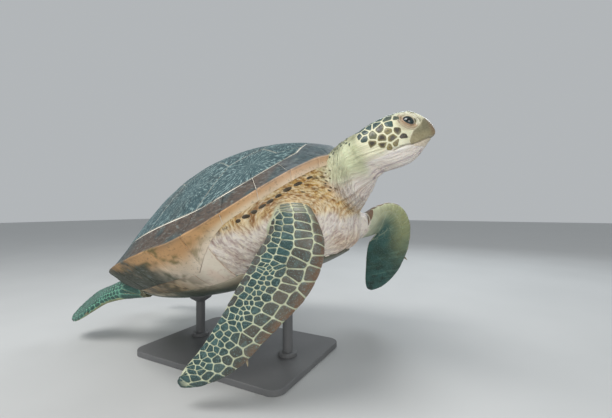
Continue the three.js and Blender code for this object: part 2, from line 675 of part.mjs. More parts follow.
const hullInPlace = outerGrown.transform(pose.toArray());
function rod(share) {
  const foot = vec(share * L, 0, bellyHeightAt(share)).applyMatrix4(pose);
  const reach = foot.z + 22;
  const pad = new THREE.LatheGeometry([
    new THREE.Vector2(0, BASE_THICK + GAP),
    new THREE.Vector2(COLLAR_RADIUS, BASE_THICK + GAP),
    new THREE.Vector2(COLLAR_RADIUS, BASE_THICK + GAP + COLLAR_HEIGHT - 3),
    new THREE.Vector2(COLLAR_RADIUS - 3, BASE_THICK + GAP + COLLAR_HEIGHT),
    new THREE.Vector2(ROD_RADIUS, BASE_THICK + GAP + COLLAR_HEIGHT),
    new THREE.Vector2(ROD_RADIUS, foot.z - PAD_THICK - 14),
    new THREE.Vector2(PAD_RADIUS - 4, foot.z - PAD_THICK),
    new THREE.Vector2(PAD_RADIUS, foot.z - PAD_THICK + 6),
    new THREE.Vector2(PAD_RADIUS, reach),
    new THREE.Vector2(0, reach),
  ], 16);
  pad.rotateX(Math.PI / 2);
  pad.translate(foot.x, foot.y, 0);
  return fromGeometry(pad).subtract(hullInPlace);
}
posed.stand_rod_front = rod(ROD_FRONT_AT);
posed.stand_rod_rear = rod(ROD_REAR_AT);

const plate = new THREE.Shape();
const hx = BASE_LENGTH / 2;
const hy = BASE_WIDTH / 2;
plate.moveTo(-hx + BASE_CORNER, -hy);
plate.lineTo(hx - BASE_CORNER, -hy);
plate.absarc(hx - BASE_CORNER, -hy + BASE_CORNER, BASE_CORNER, -Math.PI / 2, 0);
plate.lineTo(hx, hy - BASE_CORNER);
plate.absarc(hx - BASE_CORNER, hy - BASE_CORNER, BASE_CORNER, 0, Math.PI / 2);
plate.lineTo(-hx + BASE_CORNER, hy);
plate.absarc(-hx + BASE_CORNER, hy - BASE_CORNER, BASE_CORNER, Math.PI / 2, Math.PI);
plate.lineTo(-hx, -hy + BASE_CORNER);
plate.absarc(-hx + BASE_CORNER, -hy + BASE_CORNER, BASE_CORNER, Math.PI, 1.5 * Math.PI);
const plateBody = new THREE.ExtrudeGeometry(plate, {
  depth: BASE_THICK - 3, bevelEnabled: true, bevelThickness: 1.5, bevelSize: 1.5,
  bevelSegments: 1, curveSegments: 3,
});
plateBody.translate(0, 0, 1.5);
posed.stand_base = fromGeometry(plateBody);

// ---------------------------------------------------------------- colours
const PAINT = {
  vertebral: [0x2c4a4c, 0.45],
  costal: [0x33524f, 0.45],
  nuchal: [0x3a4f52, 0.45],
  marginals: [0x5b4c3c, 0.5],
  plastron: [0xd9cfae, 0.55],
  bridge: [0xe3d3bd, 0.55],
  trunk: [0xc9b48a, 0.75],
  neck: [0xc6c6a4, 0.75],
  head: [0x7a7048, 0.6],
  jaw: [0xd8d0bb, 0.65],
  beak: [0x8c8263, 0.4],
  eye: [0x10100e, 0.1],
  fore: [0x5f5646, 0.6],
  hind: [0x4a6658, 0.6],
  tail: [0x7d7a5c, 0.7],
  claw: [0x9a8c66, 0.4],
  stand: [0x2b2d2f, 0.45],
};
// Flat-lying facets are merged, flesh more than plates.
const FINE = 0.15;
const COARSE = 0.4;
const isFlesh = (name) => name in LANDMARKS && !name.startsWith('beak');
const order = Object.keys(posed).sort();
for (const name of order) {
  const mesh = posed[name].simplify(isFlesh(name) ? COARSE : FINE).getMesh();
  const geometry = new THREE.BufferGeometry();
  geometry.setAttribute('position', new THREE.BufferAttribute(Float32Array.from(mesh.vertProperties), 3));
  geometry.setIndex(Array.from(mesh.triVerts));
  geometry.computeVertexNormals();
  const [color, roughness] = PAINT[name.split('_')[0]];
  const material = new THREE.MeshStandardMaterial({
    color, roughness, metalness: name.startsWith('stand') ? 0.4 : 0,
  });
  const part = new THREE.Mesh(geometry, material);
  part.name = name;
  root.add(part);
}

export default root;
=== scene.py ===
"""Green sea turtle on a display stand: the looks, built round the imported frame.

The animal is worked out in its own upright frame, in millimetres: x forward from the
rear edge of the shell, y to its left, z up. to_world() puts it on the stand, in metres.
"""

import math
import random

import bmesh
import bpy
import numpy as np
from mathutils import Matrix, Vector
from mathutils.bvhtree import BVHTree
from mathutils.kdtree import KDTree


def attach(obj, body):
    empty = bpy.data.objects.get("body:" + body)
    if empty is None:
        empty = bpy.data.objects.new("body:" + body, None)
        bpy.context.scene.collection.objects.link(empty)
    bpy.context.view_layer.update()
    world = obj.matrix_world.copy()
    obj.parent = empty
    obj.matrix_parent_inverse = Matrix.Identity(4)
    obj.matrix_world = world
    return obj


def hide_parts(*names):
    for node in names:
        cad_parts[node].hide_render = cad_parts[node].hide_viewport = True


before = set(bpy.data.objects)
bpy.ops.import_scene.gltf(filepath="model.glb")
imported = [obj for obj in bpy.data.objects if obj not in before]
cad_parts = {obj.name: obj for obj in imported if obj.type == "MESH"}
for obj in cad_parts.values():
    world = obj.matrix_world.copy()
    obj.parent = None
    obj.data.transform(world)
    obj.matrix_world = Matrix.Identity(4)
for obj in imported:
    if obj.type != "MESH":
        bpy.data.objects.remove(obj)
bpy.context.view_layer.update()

# ---------------------------------------------------------------- driving sizes
L = 950.0                    # straight length of the shell
PITCH, BANK = 15.0, 1.5      # degrees, nose up and left side up
BODY_LIFT, BODY_SHIFT = 253.0, -500.0
CROWN_AT, CROWN_HEIGHT, BELLY_DEPTH = 0.58, 0.275, 0.18
PLASTRON_REAR, PLASTRON_FRONT = 0.09, 0.94
SKIN_RECESS = 5.0
SEAM_HALF = 1.0              # half the open joint between two plates of the shell
BED_DEPTH = 2.2              # pale layer that shows in the joints
VOXEL = 2.6                  # grain of the skin before it is thinned out
SKIN_TRIANGLES = 190000


# ---------------------------------------------------------------- numbers
def clamp(v, a=0.0, b=1.0):
    return np.minimum(b, np.maximum(a, v))


def ramp(v, a, b):
    """0 before a, 1 after b, smooth between."""
    t = clamp((v - a) / (b - a))
    return t * t * (3 - 2 * t)


def mix(a, b, t):
    """a where t is 0 and b where it is 1; t has one value a point, a and b may be colours."""
    a, b, t = np.asarray(a, float), np.asarray(b, float), np.asarray(t, float)
    if t.ndim and (3,) in (a.shape[-1:], b.shape[-1:]):
        t = t[..., None]
    return a + (b - a) * t


def layered(colour, *coats):
    """The colour with each coat, a pair of colour and share, laid over what is there."""
    for over, share in coats:
        colour = mix(colour, over, share)
    return colour


def unit(v):
    return v / np.maximum(np.linalg.norm(v, axis=-1, keepdims=True), 1e-9)


def rotation(axis, degrees):
    return np.array(Matrix.Rotation(math.radians(degrees), 3, axis))


POSE = rotation("Y", -PITCH) @ rotation("X", BANK)


def to_world(p):
    return (np.asarray(p) @ POSE.T + (BODY_SHIFT, 0, BODY_LIFT)) / 1000


def hash01(i, j, k, seed):
    n = (i * 374761393 + j * 668265263 + k * 1274126177 + seed * 144269) & 0x7FFFFFFF
    n = ((n ^ (n >> 13)) * 1103515245) & 0x7FFFFFFF
    return ((n ^ (n >> 16)) & 0xFFFF) / 65535.0


def noise(p, size, seed=0):
    """Smooth noise from -1 to 1 with cells of the given size, which may differ by axis."""
    q = np.asarray(p, float) / np.asarray(size, float)
    cell = np.floor(q).astype(np.int64)
    f = q - cell
    f = f * f * (3 - 2 * f)
    total = 0.0
    for corner in np.ndindex(2, 2, 2):
        part = hash01(*(cell[..., i] + corner[i] for i in range(3)), seed)
        for i in range(3):
            part = part * (f[..., i] if corner[i] else 1 - f[..., i])
        total = total + part
    return total * 2 - 1


def noise_on(plan, size, seed):
    """noise() on flat places."""
    return noise(np.column_stack([plan, np.zeros(len(plan))]), size, seed)


def run_along(points):
    """Distance along a line of points, 0 at the first."""
    return np.concatenate([[0], np.cumsum(np.linalg.norm(np.diff(points, axis=0), axis=1))])


def round_turn(count):
    return np.linspace(0, 2 * np.pi, count, endpoint=False)


def catmull(points, t):
    """Centripetal Catmull-Rom curve through the points, for t from 0 to 1."""
    p = np.asarray(points, float)
    ext = np.vstack([2 * p[0] - p[1], p, 2 * p[-1] - p[-2]])
    t = np.atleast_1d(np.asarray(t, float)) * (len(p) - 1)
    k = np.clip(np.floor(t).astype(int), 0, len(p) - 2)
    w = (t - k)[:, None]
    p0, p1, p2, p3 = (ext[k + i] for i in range(4))
    d0, d1, d2 = (np.maximum(np.linalg.norm(b - a, axis=1), 1e-6)[:, None] ** 0.5
                  for a, b in ((p0, p1), (p1, p2), (p2, p3)))
    t1 = ((p1 - p0) / d0 - (p2 - p0) / (d0 + d1) + (p2 - p1) / d1) * d1
    t2 = ((p2 - p1) / d1 - (p3 - p1) / (d1 + d2) + (p3 - p2) / d2) * d1
    square, cube = -3 * p1 + 3 * p2 - 2 * t1 - t2, 2 * p1 - 2 * p2 + t1 + t2
    return p1 + t1 * w + square * w**2 + cube * w**3


# ---------------------------------------------------------------- meshes
class Batch:
    """Collects closed pieces that become one mesh, with a tint per vertex and a map."""

    def __init__(self):
        self.points, self.faces, self.tints, self.maps, self.rays = [], [], [], [], []
        self.count = 0

    def add(self, points, faces, tint, uv=None, ray=None):
        n = len(points)
        self.points.append(np.asarray(points, float))
        self.faces += [f + self.count for f in faces if len(f)]
        self.tints.append(np.broadcast_to(np.asarray(tint, float), (n, 3)))
        self.maps.append(np.zeros((n, 2)) if uv is None else uv)
        self.rays.append(np.zeros((n, 3)) if ray is None else ray)
        self.count += n

    def build(self, name, material, mapped=False):
        obj = mesh_object(name, to_world(np.vstack(self.points)), self.faces, material)
        mesh = obj.data
        store_tint(mesh, np.vstack(self.tints))
        store(mesh, "ray", "FLOAT_VECTOR", np.vstack(self.rays))
        if mapped:
            layer = mesh.uv_layers.new(name="OFBake")
            corners = np.empty(len(mesh.loops), np.int32)
            mesh.loops.foreach_get("vertex_index", corners)
            layer.data.foreach_set("uv", np.vstack(self.maps)[corners].ravel())
        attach(obj, "root")
        return obj


FIELDS = {"FLOAT_COLOR": "color", "FLOAT_VECTOR": "vector", "FLOAT": "value"}


def store(mesh, name, kind, values):
    """Gives the mesh a named value at each point."""
    mesh.attributes.new(name, kind, "POINT").data.foreach_set(FIELDS[kind], np.ravel(values))


def store_tint(mesh, tint):
    store(mesh, "tint", "FLOAT_COLOR", np.column_stack([tint, np.ones(len(tint))]))


def mesh_object(name, points, faces, material=None):
    """faces is a list of index arrays, each of one face size (n faces x k corners)."""
    mesh = bpy.data.meshes.new(name)
    corners = np.concatenate([f.ravel() for f in faces]).astype(np.int32)
    sizes = np.concatenate([np.full(len(f), f.shape[1]) for f in faces])
    mesh.vertices.add(len(points))
    mesh.vertices.foreach_set("co", np.asarray(points, float).ravel())
    mesh.loops.add(len(corners))
    mesh.loops.foreach_set("vertex_index", corners)
    mesh.polygons.add(len(sizes))
    mesh.polygons.foreach_set("loop_start", (np.cumsum(sizes) - sizes).astype(np.int32))
    mesh.polygons.foreach_set("use_smooth", np.ones(len(sizes), bool))
    mesh.update(calc_edges=True)
    obj = bpy.data.objects.new(name, mesh)
    bpy.context.scene.collection.objects.link(obj)
    if material:
        mesh.materials.append(material)
    return obj


def ring_faces(rings, n):
    """Quads between successive rings of n points."""
    j = np.arange(n)
    k = (j + 1) % n
    i = np.arange(rings - 1)[:, None] * n
    return np.stack([i + j, i + k, i + n + k, i + n + j], -1).reshape(-1, 4)


def fan_faces(n, first, hub, flip=False):
    j = np.arange(n)
    k = (j + 1) % n
    a, b = (k, j) if flip else (j, k)
    return np.stack([first + a, first + b, np.full(n, hub)], -1)


def outward(points, faces):
    """Turns all faces over if the closed body they make is inside out."""
    volume = 0.0
    for f in faces:
        for i in range(1, f.shape[1] - 1):
            a, b, c = points[f[:, 0]], points[f[:, i]], points[f[:, i + 1]]
            volume += np.einsum("ij,ij->", a, np.cross(b, c))
    return [f[:, ::-1] for f in faces] if volume < 0 else faces


def loft(rings):
    """Closed body through rings (m, n, 3), capped by a hub at each end."""
    m, n = rings.shape[:2]
    points = np.vstack([rings.reshape(-1, 3), rings[0].mean(0), rings[-1].mean(0)])
    faces = [ring_faces(m, n), fan_faces(n, 0, m * n, True), fan_faces(n, (m - 1) * n, m * n + 1)]
    return points, outward(points, faces)


def resample(outline, count):
    """Even points round a closed outline."""
    p = np.vstack([outline, outline[:1]])
    run = run_along(p)
    t = np.linspace(0, run[-1], count, endpoint=False)
    return np.stack([np.interp(t, run, p[:, i]) for i in range(p.shape[1])], -1)


def soften(outline, radius):
    """Rounds the corners of a closed outline, by two cuts at each."""
    p = outline
    for reach in (radius, radius * 0.4):
        q = np.roll(p, -1, axis=0)
        side = np.linalg.norm(q - p, axis=1, keepdims=True)
        cut = np.minimum(0.3, reach / np.maximum(side, 1e-6))
        p = np.stack([p + (q - p) * cut, q + (p - q) * cut], 1).reshape(-1, 2)
    return p


def keep_corners(outline, spacing):
    """Points along each side of a polygon, with the corners kept."""
    out = []
    for a, b in zip(outline, np.roll(outline, -1, axis=0)):
        steps = max(1, int(round(np.linalg.norm(b - a) / spacing)))
        out += [a + (b - a) * i / steps for i in range(steps)]
    return np.array(out)


def polar_rings(outline, centre, edge_steps, inner):
    """Rings of plan points: at set distances in from the edge, then at even shares."""
    reach = np.linalg.norm(outline - centre, axis=1, keepdims=True)
    last = np.clip(1 - edge_steps[-1] / reach, 0.3, 1)
    shares = [np.clip(1 - d / reach, 0.3, 1) for d in edge_steps]
    shares += [last * (1 - (i + 1) / (inner + 1)) for i in range(inner)]
    return np.array([centre + (outline - centre) * s for s in shares]), shares


def plate(batch, outline, surface, steps, lifts, inner, deep, lift, tint, chart=None, centre=None):
    """One horny plate: rounded edge, domed face, closed underneath.

    surface(plan) gives points and outward normals; lift(share, plan) raises the face, with
    share 1 at the edge and 0 in the middle; tint(share, plan) colours it.
    """
    n = len(outline)
    centre = outline.mean(0) if centre is None else centre
    rings, shares = polar_rings(outline, centre, steps, inner)
    plan = np.vstack([outline, rings.reshape(-1, 2), centre[None], centre[None]])
    share = np.concatenate([np.ones(n), *[np.broadcast_to(s, (n, 1)).ravel() for s in shares], [0, 0]])
    height = np.append(np.repeat([-deep, *lifts, *[lifts[-1]] * inner], n), [lifts[-1], -deep])
    tapers = [i / max(1, len(lifts) - 1) for i in range(len(lifts))]
    taper = np.append(np.repeat([0.0, *tapers, *[1.0] * inner], n), [1.0, 0.0])
    face = np.zeros(len(plan))
    face[n:-1] = lift(share[n:-1], plan[n:-1])
    points, normals = surface(plan)
    points = points + normals * (height + face * taper)[:, None]
    total = 1 + len(lifts) + inner
    hub, under = total * n, total * n + 1
    faces = [ring_faces(total, n), fan_faces(n, (total - 1) * n, hub), fan_faces(n, 0, under, True)]
    off = plan - centre
    ray = np.column_stack([unit(off) * np.minimum(1, share * 6)[:, None], np.linalg.norm(off, axis=1) / 100])
    batch.add(points, outward(points, faces), tint(share, plan), chart and chart(plan), ray)


# ---------------------------------------------------------------- shell surfaces
def half_width(s):
    s = clamp(s, 1e-6, 1 - 1e-6)
    return L * 0.822 * s**0.62 * (1 - s)**0.46


def rim_height(s):
    return L * (-0.03 + 0.04 * s + 0.13 * clamp((s - 0.62) / 0.38)**1.7)


def crown_height(s):
    rear = -0.03 + (CROWN_HEIGHT + 0.03) * np.sin(np.pi / 2 * clamp(s / CROWN_AT))**0.72
    fall = 1 - clamp((s - CROWN_AT) / (1 - CROWN_AT))**2.3
    front = 0.165 + (CROWN_HEIGHT - 0.165) * fall
    edge = ramp(1 - s, 0, 0.035)
    z = np.where(s < CROWN_AT, rear, front)
    return L * z * edge + rim_height(s) * (1 - edge)


def belly_height(s):
    def flat(q):
        u = (q - PLASTRON_REAR) / (PLASTRON_FRONT - PLASTRON_REAR)
        return -BELLY_DEPTH * (1 - 0.45 * np.abs((u - 0.55) / 0.55)**2.6)
    k = clamp((PLASTRON_REAR - s) / PLASTRON_REAR)
    rear = -0.03 + (flat(PLASTRON_REAR) + 0.03) * np.sqrt(1 - k * k)
    k = clamp((s - PLASTRON_FRONT) / (1 - PLASTRON_FRONT))
    top = 0.14
    front = top + (flat(PLASTRON_FRONT) - top) * np.sqrt(1 - k * k)
    return L * np.where(s < PLASTRON_REAR, rear, np.where(s > PLASTRON_FRONT, front, flat(s)))


def warped(plan):
    """Slight waviness that all plates share, so that their seams stay parallel."""
    return plan + np.column_stack([noise_on(plan, 55, 3), noise_on(plan, 55, 4)]) * 2.6


DOME_CURVE, BELLY_CURVE = (1.7, 1.3), (3.2, 1.1)


def bulge(across, curve):
    """Share of the middle's height at a share of the way out to the rim."""
    return (1 - np.abs(across)**curve[0])**curve[1]


def bulged(plan, height, curve):
    s, y = plan[:, 0] / L, plan[:, 1]
    t = clamp(np.abs(y) / half_width(s))
    z = rim_height(s) + (height(s) - rim_height(s)) * bulge(t, curve)
    return np.column_stack([plan, z])


def dome(plan):
    return bulged(plan, crown_height, DOME_CURVE)


def belly(plan):
    return bulged(plan, belly_height, BELLY_CURVE)


def with_normals(shape, up):
    def surface(plan):
        e = 2.0
        p = shape(plan)
        dx = shape(plan + (e, 0)) - shape(plan - (e, 0))
        dy = shape(plan + (0, e)) - shape(plan - (0, e))
        return p, unit(np.cross(dx, dy)) * up
    return surface


on_dome = with_normals(lambda q: dome(warped(q)), 1)
on_belly = with_normals(lambda q: belly(warped(q)), -1)
plain_dome = with_normals(dome, 1)
plain_belly = with_normals(belly, -1)

# ---------------------------------------------------------------- scute plan
SEAM_ALONG, SEAM_ACROSS = 0.86, 0.78
RING_REAR, RING_FRONT, LAST_COSTAL_END = 0.10, 0.905, 0.15
COSTAL_FOOT = [0.66, 0.455, 0.265]
VERTEBRAL_SEAM = [RING_FRONT, 0.775, 0.59, 0.40, 0.23]
VERTEBRAL_SEAM_HALF = [0.085, 0.085, 0.088, 0.085, 0.08]
VERTEBRAL_KINK = [0.845, 0.685, 0.495, 0.315, 0.165]
VERTEBRAL_KINK_HALF = [0.13, 0.155, 0.155, 0.145, 0.125]
# Rim places of the joints between marginals, front to rear, as shares of the length.
MARGINAL_JOINTS = [0.992, 0.975, 0.93, 0.865, 0.78, 0.675, 0.565, 0.45, 0.34, 0.235, 0.14, 0.06, 0.0]
GULAR_TO_ANAL = [0.93, 0.865, 0.76, 0.60, 0.43, 0.265, 0.095]
BRIDGE_REAR, BRIDGE_FRONT = 0.33, 0.70
INFRAMARGINALS = 4


def seam_half_width(x):
    return half_width((x - 0.5) / SEAM_ALONG + 0.5) * SEAM_ACROSS / L


def seam_run(x0, x1, steps=10):
    return [(x, float(seam_half_width(x))) for x in np.linspace(x0, x1, steps + 1)]


def scute_outlines():
    """Name and plan outline of each vertebral and costal scute."""
    made = []
    for i in range(5):
        half = [(VERTEBRAL_SEAM[i], VERTEBRAL_SEAM_HALF[i]), (VERTEBRAL_KINK[i], VERTEBRAL_KINK_HALF[i])]
        if i < 4:
            half.append((VERTEBRAL_SEAM[i + 1], VERTEBRAL_SEAM_HALF[i + 1]))
        else:
            half += seam_run(RING_REAR, LAST_COSTAL_END, 4)[::-1]
        outline = half + [(x, -y) for x, y in half[::-1]]
        made.append((f"vertebral_{i + 1}", np.array(outline) * L))
    for name, side in (("right", -1), ("left", 1)):
        for i in range(4):
            front = RING_FRONT if i == 0 else COSTAL_FOOT[i - 1]
            rear = LAST_COSTAL_END if i == 3 else COSTAL_FOOT[i]
            pts = [(RING_FRONT, VERTEBRAL_SEAM_HALF[0])] if i == 0 else []
            pts += [(VERTEBRAL_KINK[i], VERTEBRAL_KINK_HALF[i]),
                    (VERTEBRAL_SEAM[i + 1], VERTEBRAL_SEAM_HALF[i + 1]),
                    (VERTEBRAL_KINK[i + 1], VERTEBRAL_KINK_HALF[i + 1])]
            pts += seam_run(rear, front)
            made.append((f"costal_{name}_{i + 1}", np.array([(x, side * y) for x, y in pts]) * L))
    return made


def inset(outline, d):
    """Moves every side of a polygon inward by d."""
    before, after = np.roll(outline, 1, axis=0), np.roll(outline, -1, axis=0)
    area = np.sum(outline[:, 0] * after[:, 1] - after[:, 0] * outline[:, 1])
    turn = 1 if area > 0 else -1
    u, w = unit(outline - before), unit(after - outline)
    nu = np.column_stack([-u[:, 1], u[:, 0]]) * turn
    nw = np.column_stack([-w[:, 1], w[:, 0]]) * turn
    m = unit(nu + nw)
    k = d / np.maximum(0.4, np.sum(m * nu, axis=1))
    return outline + m * k[:, None]


# ---------------------------------------------------------------- shell colours (linear)
# SLATE and SLATE_REAR are the shell's dark colour with a painted blue cast of the light from above, bluer
# still towards the far rear.
SLATE = (0.020, 0.062, 0.072)
SLATE_REAR = (0.010, 0.085, 0.110)
UMBER = (0.075, 0.052, 0.038)
BLUE_GREY = (0.085, 0.120, 0.140)
TAN = (0.560, 0.330, 0.150)
CREAM = (0.690, 0.560, 0.380)
OLIVE = (0.130, 0.115, 0.030)
SHADE_GREEN = (0.030, 0.045, 0.030)
PINKISH = (0.720, 0.540, 0.430)
BONE = (0.800, 0.760, 0.660)

PLATE_STEPS = [0.0, 0.7, 2.0, 5.0]
PLATE_LIFTS = [-2.2, -0.8, -0.15, 0.0]
UNDER_LIFTS = [-1.6, -0.5, -0.1, 0.0]


def scute_lift(share, plan):
    rings = 0.16 * np.sin((1 - share) * 55) * ramp(share, 0.35, 0.8)
    return rings + noise_on(plan, 38, 8) * 0.7 + noise_on(plan, 11, 9) * 0.22


def scute_tint(share, plan):
    # Painted blue cast: the rear of the carapace turns bluer.
    return layered(SLATE, (SLATE_REAR, ramp(-plan[:, 0], -0.55 * L, -0.1 * L)),
                   ((0.045, 0.060, 0.058), ramp(noise_on(plan, 90, 21), 0.0, 0.7) * 0.5),
                   (BONE, ramp(share, 0.985, 1.0) * 0.6))


def carapace(material):
    for name, outline in scute_outlines():
        batch = Batch()
        edge = keep_corners(inset(outline, SEAM_HALF), 5.0)
        plate(batch, edge, on_dome, PLATE_STEPS, PLATE_LIFTS, 16, 7, scute_lift, scute_tint)
        piece = batch.build("horn_" + name, material)
        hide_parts(name)


# ---------------------------------------------------------------- marginal ring
def lip_depth(s):
    return L * (0.025 + 0.08 * np.minimum(ramp(-s, -0.80, -0.60), ramp(s, 0.10, 0.36)))


def rim_plan(k):
    """Plan point on the outline; k runs 0 at the front midline to 1 at the rear one."""
    x = (1 + np.cos(np.pi * k)) / 2
    return np.column_stack([x * L, half_width(x)])


def seam_plan(k):
    p = rim_plan(k)
    x = clamp(0.5 + (p[:, 0] / L - 0.5) * SEAM_ALONG, RING_REAR, RING_FRONT)
    return np.column_stack([x * L, p[:, 1] * SEAM_ACROSS])


def k_of(x):
    return math.acos(2 * x - 1) / math.pi


def lip_share(k):
    """How far in from the rim, as a share of the way to the seam, the under lip reaches."""
    rim, seam = rim_plan(k), seam_plan(k)
    goal = rim_height(rim[:, 0] / L) - lip_depth(rim[:, 0] / L)
    low, high = np.zeros(len(k)), np.full(len(k), 0.999)
    for _ in range(30):
        m = (low + high) / 2
        deeper = belly(rim + (seam - rim) * m[:, None])[:, 2] < goal
        high, low = np.where(deeper, m, high), np.where(deeper, low, m)
    return high


EDGE_ROUND = 3.4             # radius of the marginals' outer edge
RIM_SEAM_HALF = 0.6          # half the open joint between two marginals


def ring_point(k, q, side):
    """q 0 at the costal seam, 1 at the rim, 2 at the inner end of the under lip."""
    rim, seam = rim_plan(k), seam_plan(k)
    upper = rim + (seam - rim) * clamp(1 - q)[:, None]
    share = lip_share(k) * clamp(q - 1)
    lower = rim + (seam - rim) * share[:, None]
    top, under = dome(upper), belly(lower)
    fade = np.exp(-np.abs(q - 1) * 9)
    top[:, 2] += EDGE_ROUND * fade * np.sqrt(clamp((1 - q) * 14))
    under[:, 2] -= EDGE_ROUND * fade * np.sqrt(clamp((q - 1) * 14))
    p = np.where((q < 1)[:, None], top, under)
    return p * (1, side, 1)


def spaced(a, b, gap, count):
    """Places from a to b: three close to each end, so that edges can be rounded."""
    head = [a + gap * g for g in (1.0, 1.5, 2.4)]
    tail = [b - gap * g for g in (2.4, 1.5, 1.0)]
    return np.concatenate([head, np.linspace(head[-1], tail[0], count + 2)[1:-1], tail])


def across_ring(steps):
    """Places from the costal seam over the rim to the inner end of the under lip."""
    return np.concatenate([[0.02, 0.035, 0.06], np.linspace(0.1, 0.9, 13), [0.94, 0.97, 0.988, 1.0],
                           [1.012, 1.03, 1.06], np.linspace(1.12, 1.93, steps), [1.97, 2.0]])


def rounded_rim(rise, heights, last_column=False):
    """Lowers the outer rows and columns of a grid of heights, so that its edge is round."""
    for i, h in enumerate(heights):
        for row in [rise[i], rise[-1 - i], rise[:, i]] + [rise[:, -1 - i]] * last_column:
            np.minimum(row, h, out=row)
    return rise


MARGINAL_EDGE = (-2.2, -0.8, -0.15)     # sink of the three outer rows, in mm
MARGINAL_THICK, LIP_THICK, LIP_COLUMNS = 4.0, 7.0, 9


def marginal(batch, k0, k1, side):
    length = run_along(rim_plan(np.linspace(k0, k1, 30)))[-1]
    ks, qs = spaced(k0, k1, RIM_SEAM_HALF / length * (k1 - k0), 22), across_ring(12)
    m, n = len(ks), len(qs)
    kk, qq = np.repeat(ks, n), np.tile(qs, m)
    flat = ring_point(kk, qq, side)
    p = flat.reshape(m, n, 3)
    normal = grid_normals(p)
    if np.sum(normal[:, n // 4] * (flat.mean(0) - (0.5 * L, 0, 0))) < 0:
        normal = -normal
    lift = rounded_rim(np.zeros((m, n)), MARGINAL_EDGE)
    lift = lift + (noise(flat, 34, 5) * 0.8 + noise(flat, 10, 6) * 0.25).reshape(m, n) * (lift > -0.5)
    thick = np.where(np.arange(n) < n - LIP_COLUMNS, MARGINAL_THICK, LIP_THICK)[:, None]
    add_slab(batch, p + normal * lift[..., None], p - normal * thick, marginal_tint(flat, qq),
             np.column_stack([kk * 3, qq * 0.8, kk * 0]))


def grid_normals(p):
    return unit(np.cross(np.gradient(p, axis=0), np.gradient(p, axis=1)))


def add_slab(batch, outer, under, tint, ray=None):
    """Closed slab between two grids of points (m, n, 3)."""
    m, n = outer.shape[:2]
    index = np.arange(m * n).reshape(m, n)
    quads = np.stack([index[:-1, :-1], index[1:, :-1], index[1:, 1:], index[:-1, 1:]], -1).reshape(-1, 4)
    border = np.concatenate([index[0, :-1], index[:-1, -1], index[-1, :0:-1], index[:0:-1, 0]])
    points = np.vstack([outer.reshape(-1, 3), under.reshape(-1, 3)])
    after = np.roll(border, -1)
    wall = np.stack([after, border, border + m * n, after + m * n], -1)
    faces = outward(points, [quads, quads[:, ::-1] + m * n, wall])
    batch.add(points, faces, np.vstack([tint, tint]), ray=None if ray is None else np.vstack([ray, ray]))


def marginal_tint(p, q):
    """Dark on the upper side, tan to cream below, with algae and shade towards the rear."""
    s = p[:, 0] / L
    # The upper side carries the same painted blue cast of the light, bluer towards the rear.
    top = layered(UMBER, (BLUE_GREY, ramp(s, 0.82, 0.95) * 0.9),
                  (SLATE, ramp(noise(p, 40, 31), 0.0, 0.8) * 0.7),
                  (SLATE_REAR, ramp(-s, -0.5, -0.2) * 0.8))
    algae = ramp(noise(p, (34, 34, 18), 33) + noise(p, 9, 34) * 0.6, 0.25, 0.8)
    joined = ramp(q, 1.25, 1.95) * ramp(s, 0.32, 0.42) * (1 - ramp(s, 0.70, 0.78))
    # Painted shade towards the rear of the under lip: a dark brown from the middle back, and a deep green
    # over its lower, inner part.
    shade = ramp(q + noise(p, 50, 35) * 0.4 + noise(p, 13, 37) * 0.2 + (0.5 - s) * 1.3, 1.10, 1.65)
    under = layered(TAN, (CREAM, ramp(q, 1.3, 1.9)),
                    (PINKISH, ramp(s, 0.78, 0.95) * 0.35),
                    ((0.76, 0.66, 0.54), joined * 0.85),
                    (OLIVE, algae * ramp(-s, -0.80, -0.60) * 0.8),
                    ((0.22, 0.14, 0.05), ramp(-s, -0.52, -0.20) * 0.75),
                    (SHADE_GREEN, ramp(-s, -0.68, -0.46) * shade * 0.95))
    return mix(top, under, ramp(q + noise(p, 30, 36) * 0.05, 0.84, 1.10))


def marginals(material):
    joints = [k_of(x) for x in MARGINAL_JOINTS]
    for name, side in (("right", -1), ("left", 1)):
        batch = Batch()
        for a, b in zip(joints, joints[1:]):
            marginal(batch, a, b, side)
        piece = batch.build("horn_marginals_" + name, material)
        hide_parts("marginals_" + name)
    batch = Batch()
    nuchal_plate(batch, joints[0])
    piece = batch.build("horn_nuchal", material)
    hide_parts("nuchal")


def nuchal_plate(batch, k_end):
    """The plate over the neck spans the midline, so its run passes through k = 0."""
    gap = SEAM_HALF / np.linalg.norm(rim_plan(np.array([k_end]))[0] - (L, 0)) * k_end
    ks, qs = spaced(-k_end, k_end, gap, 30), across_ring(8)
    m, n = len(ks), len(qs)
    kk, qq = np.repeat(ks, n), np.tile(qs, m)
    flat = ring_point(np.abs(kk), qq, 1)
    flat[:, 1] *= np.where(kk < 0, -1.0, 1.0)
    p = flat.reshape(m, n, 3)
    normal = grid_normals(p)
    if normal[m // 2, n // 4, 2] < 0:
        normal = -normal
    lift = rounded_rim(np.zeros((m, n)), MARGINAL_EDGE)
    add_slab(batch, p + normal * lift[..., None], p - normal * MARGINAL_THICK, marginal_tint(flat, qq),
             np.column_stack([flat[:, 1] / 60, qq * 0.8, qq * 0]))


# ---------------------------------------------------------------- plastron and bridge
def plastron_half(x):
    u = clamp((x - PLASTRON_REAR) / (PLASTRON_FRONT - 0.01 - PLASTRON_REAR))
    body = (1 - np.abs(2 * u - 1.06)**3.2 * 0.8)**0.8
    return 0.248 * body * np.minimum(1, np.sqrt(8 * u + 0.05)) * np.minimum(1, np.sqrt(9 * (1 - u) + 0.03))


SEAM_SAG = 0.006             # how far a plastron seam bows back at its middle, as a share of L


def plastron_outlines(side):
    made = []
    for a, b in zip(GULAR_TO_ANAL, GULAR_TO_ANAL[1:]):
        outer = [(x, float(plastron_half(x))) for x in np.linspace(a, b, 9)]
        rear, front = ((x - SEAM_SAG, y / 2) for x, y in (outer[-1], outer[0]))
        outline = outer + [rear, (b, 0.0), (a, 0.0), front]
        made.append(np.array([(x, side * y) for x, y in outline]) * L)
    return made


